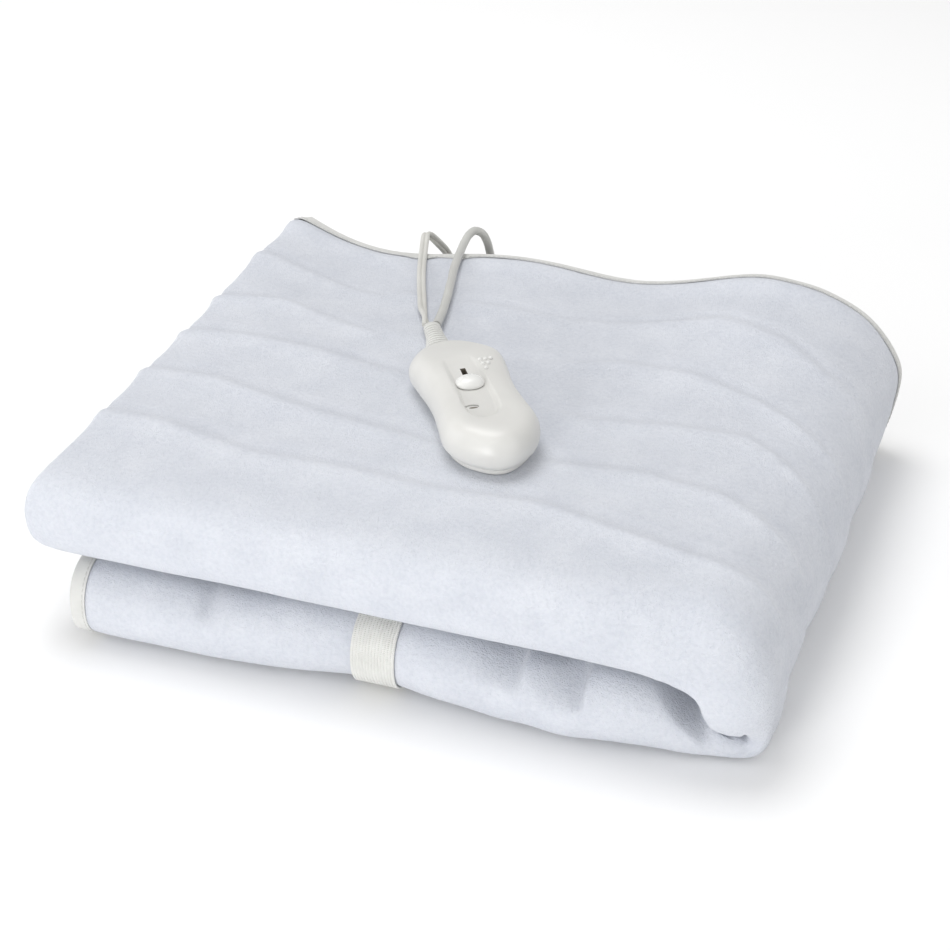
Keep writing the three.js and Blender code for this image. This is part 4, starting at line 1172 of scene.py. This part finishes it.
def makeLamp():
    # a shallow oval lens with a dark slit across it
    floor = recessFloor(lamp["u"])
    rings = []
    for size, w in lamp["rings"]:
        ring = []
        for angle in anglesAround(lamp["around"]):
            ring.append(onControl(
                lamp["u"] + size * math.sin(angle) * lamp["length"] / 2,
                lamp["v"] + size * math.cos(angle) * lamp["width"] / 2,
                floor + w,
            ))
        rings.append(ring)
    lens = ringStack("lampLens", rings)
    finishPiece(lens, "pad", ["led_window"], softPlastic)
    clearSelection()
    bpy.ops.mesh.primitive_uv_sphere_add(segments=24, ring_count=12, radius=0.5)
    slit = bpy.context.object
    slit.name = slit.data.name = "lampSlit"
    slit.data.transform(Matrix.Diagonal((*lamp["slit"], 1)))
    place = (lamp["slitU"], lamp["v"] + lamp["slitAside"], floor + lamp["slitLevel"])
    slit.data.transform(Matrix.Translation(place))
    placeLocal(slit)
    bpy.ops.object.shade_smooth()
    finishPiece(slit, "pad", [], slotShade)


def bootRings(margin=0.0, smooth=False):
    # rounded ribs between narrow grooves, on a body that tapers away from the housing
    rows = [(-0.3, 0), (0, 0), (2, 0), (4.2, 0)]
    for i in range(boot["rings"]):
        at = boot["ringsFrom"] + i * boot["pitch"]
        rows.append((at - 0.45, 0 if i == 0 else -0.12))
        rows += [(at + on, -boot["ringDepth"] if grow is None else grow) for on, grow in boot["rib"]]
    rows += [(boot["length"] - 0.5, -0.2), (boot["length"] - 0.1, -0.8), (boot["length"], -1.6)]
    rings = []
    for at, grow in rows:
        share = at / boot["length"]
        grow = margin if smooth else grow
        flare = boot["flare"] * max(1 - at / boot["flareLength"], 0) ** 1.5
        halfWidth = mix(boot["width"], boot["endWidth"], share) / 2 + min(flare, boot["flare"]) + grow
        halfHeight = mix(boot["height"], boot["endHeight"], share) / 2 + grow
        side = mix(boot["side"], boot["endSide"], share)
        level = mix(boot["w"], boot["endW"], share)
        rings.append([
            onControl(boot["from"] - at, side + halfWidth * math.cos(a), level + halfHeight * math.sin(a))
            for a in anglesAround(boot["around"])
        ])
    return rings


def makeBoot():
    piece = ringStack("cordBoot", bootRings())
    smoothByAngle(piece, 60)
    finishPiece(piece, "pad", ["boot"], softPlastic)


makeHousingTop()
makeHousingBase()
makeKnob()
makeLamp()
makeBoot()
print("hand control ready")


# Floor and lights

studio = {
    "floor": 0.97, "world": 0.58, "aim": (0, 0, 0.05),
    "lights": [
        {"name": "overhead", "at": (-0.5, 0.3, 2.2), "size": 1.4, "power": 24},
        {"name": "frontKey", "at": (-0.4, -2.3, 0.4), "size": 1.0, "power": 25},
        {"name": "leftFill", "at": (-2.2, -0.8, 0.9), "size": 1.0, "power": 6},
        {"name": "rightFill", "at": (2.3, -0.5, 0.9), "size": 1.2, "power": 7},
    ],
}


def makeStudio():
    clearSelection()
    bpy.ops.mesh.primitive_plane_add(size=16, location=(0, 0, -0.0004))
    floor = bpy.context.object
    floor.name = "studioFloor"
    paint = newMaterial("floorPaint", (studio["floor"],) * 3, 0.9, specular=0.1)
    floor.data.materials.append(paint)
    for light in studio["lights"]:
        clearSelection()
        bpy.ops.object.light_add(type="AREA", location=light["at"])
        source = bpy.context.object
        source.name = light["name"]
        source.data.shape = "DISK"
        source.data.size = light["size"]
        source.data.energy = light["power"]
        back = Vector(light["at"]) - Vector(studio["aim"])
        source.rotation_euler = back.to_track_quat("Z", "Y").to_euler()
    world = bpy.data.worlds.new("studioLight")
    world.use_nodes = True
    world.node_tree.nodes["Background"].inputs["Color"].default_value = (1, 1, 1, 1)
    world.node_tree.nodes["Background"].inputs["Strength"].default_value = studio["world"]
    bpy.context.scene.world = world
    bpy.context.scene.view_settings.view_transform = "Standard"


makeStudio()
print("studio ready")
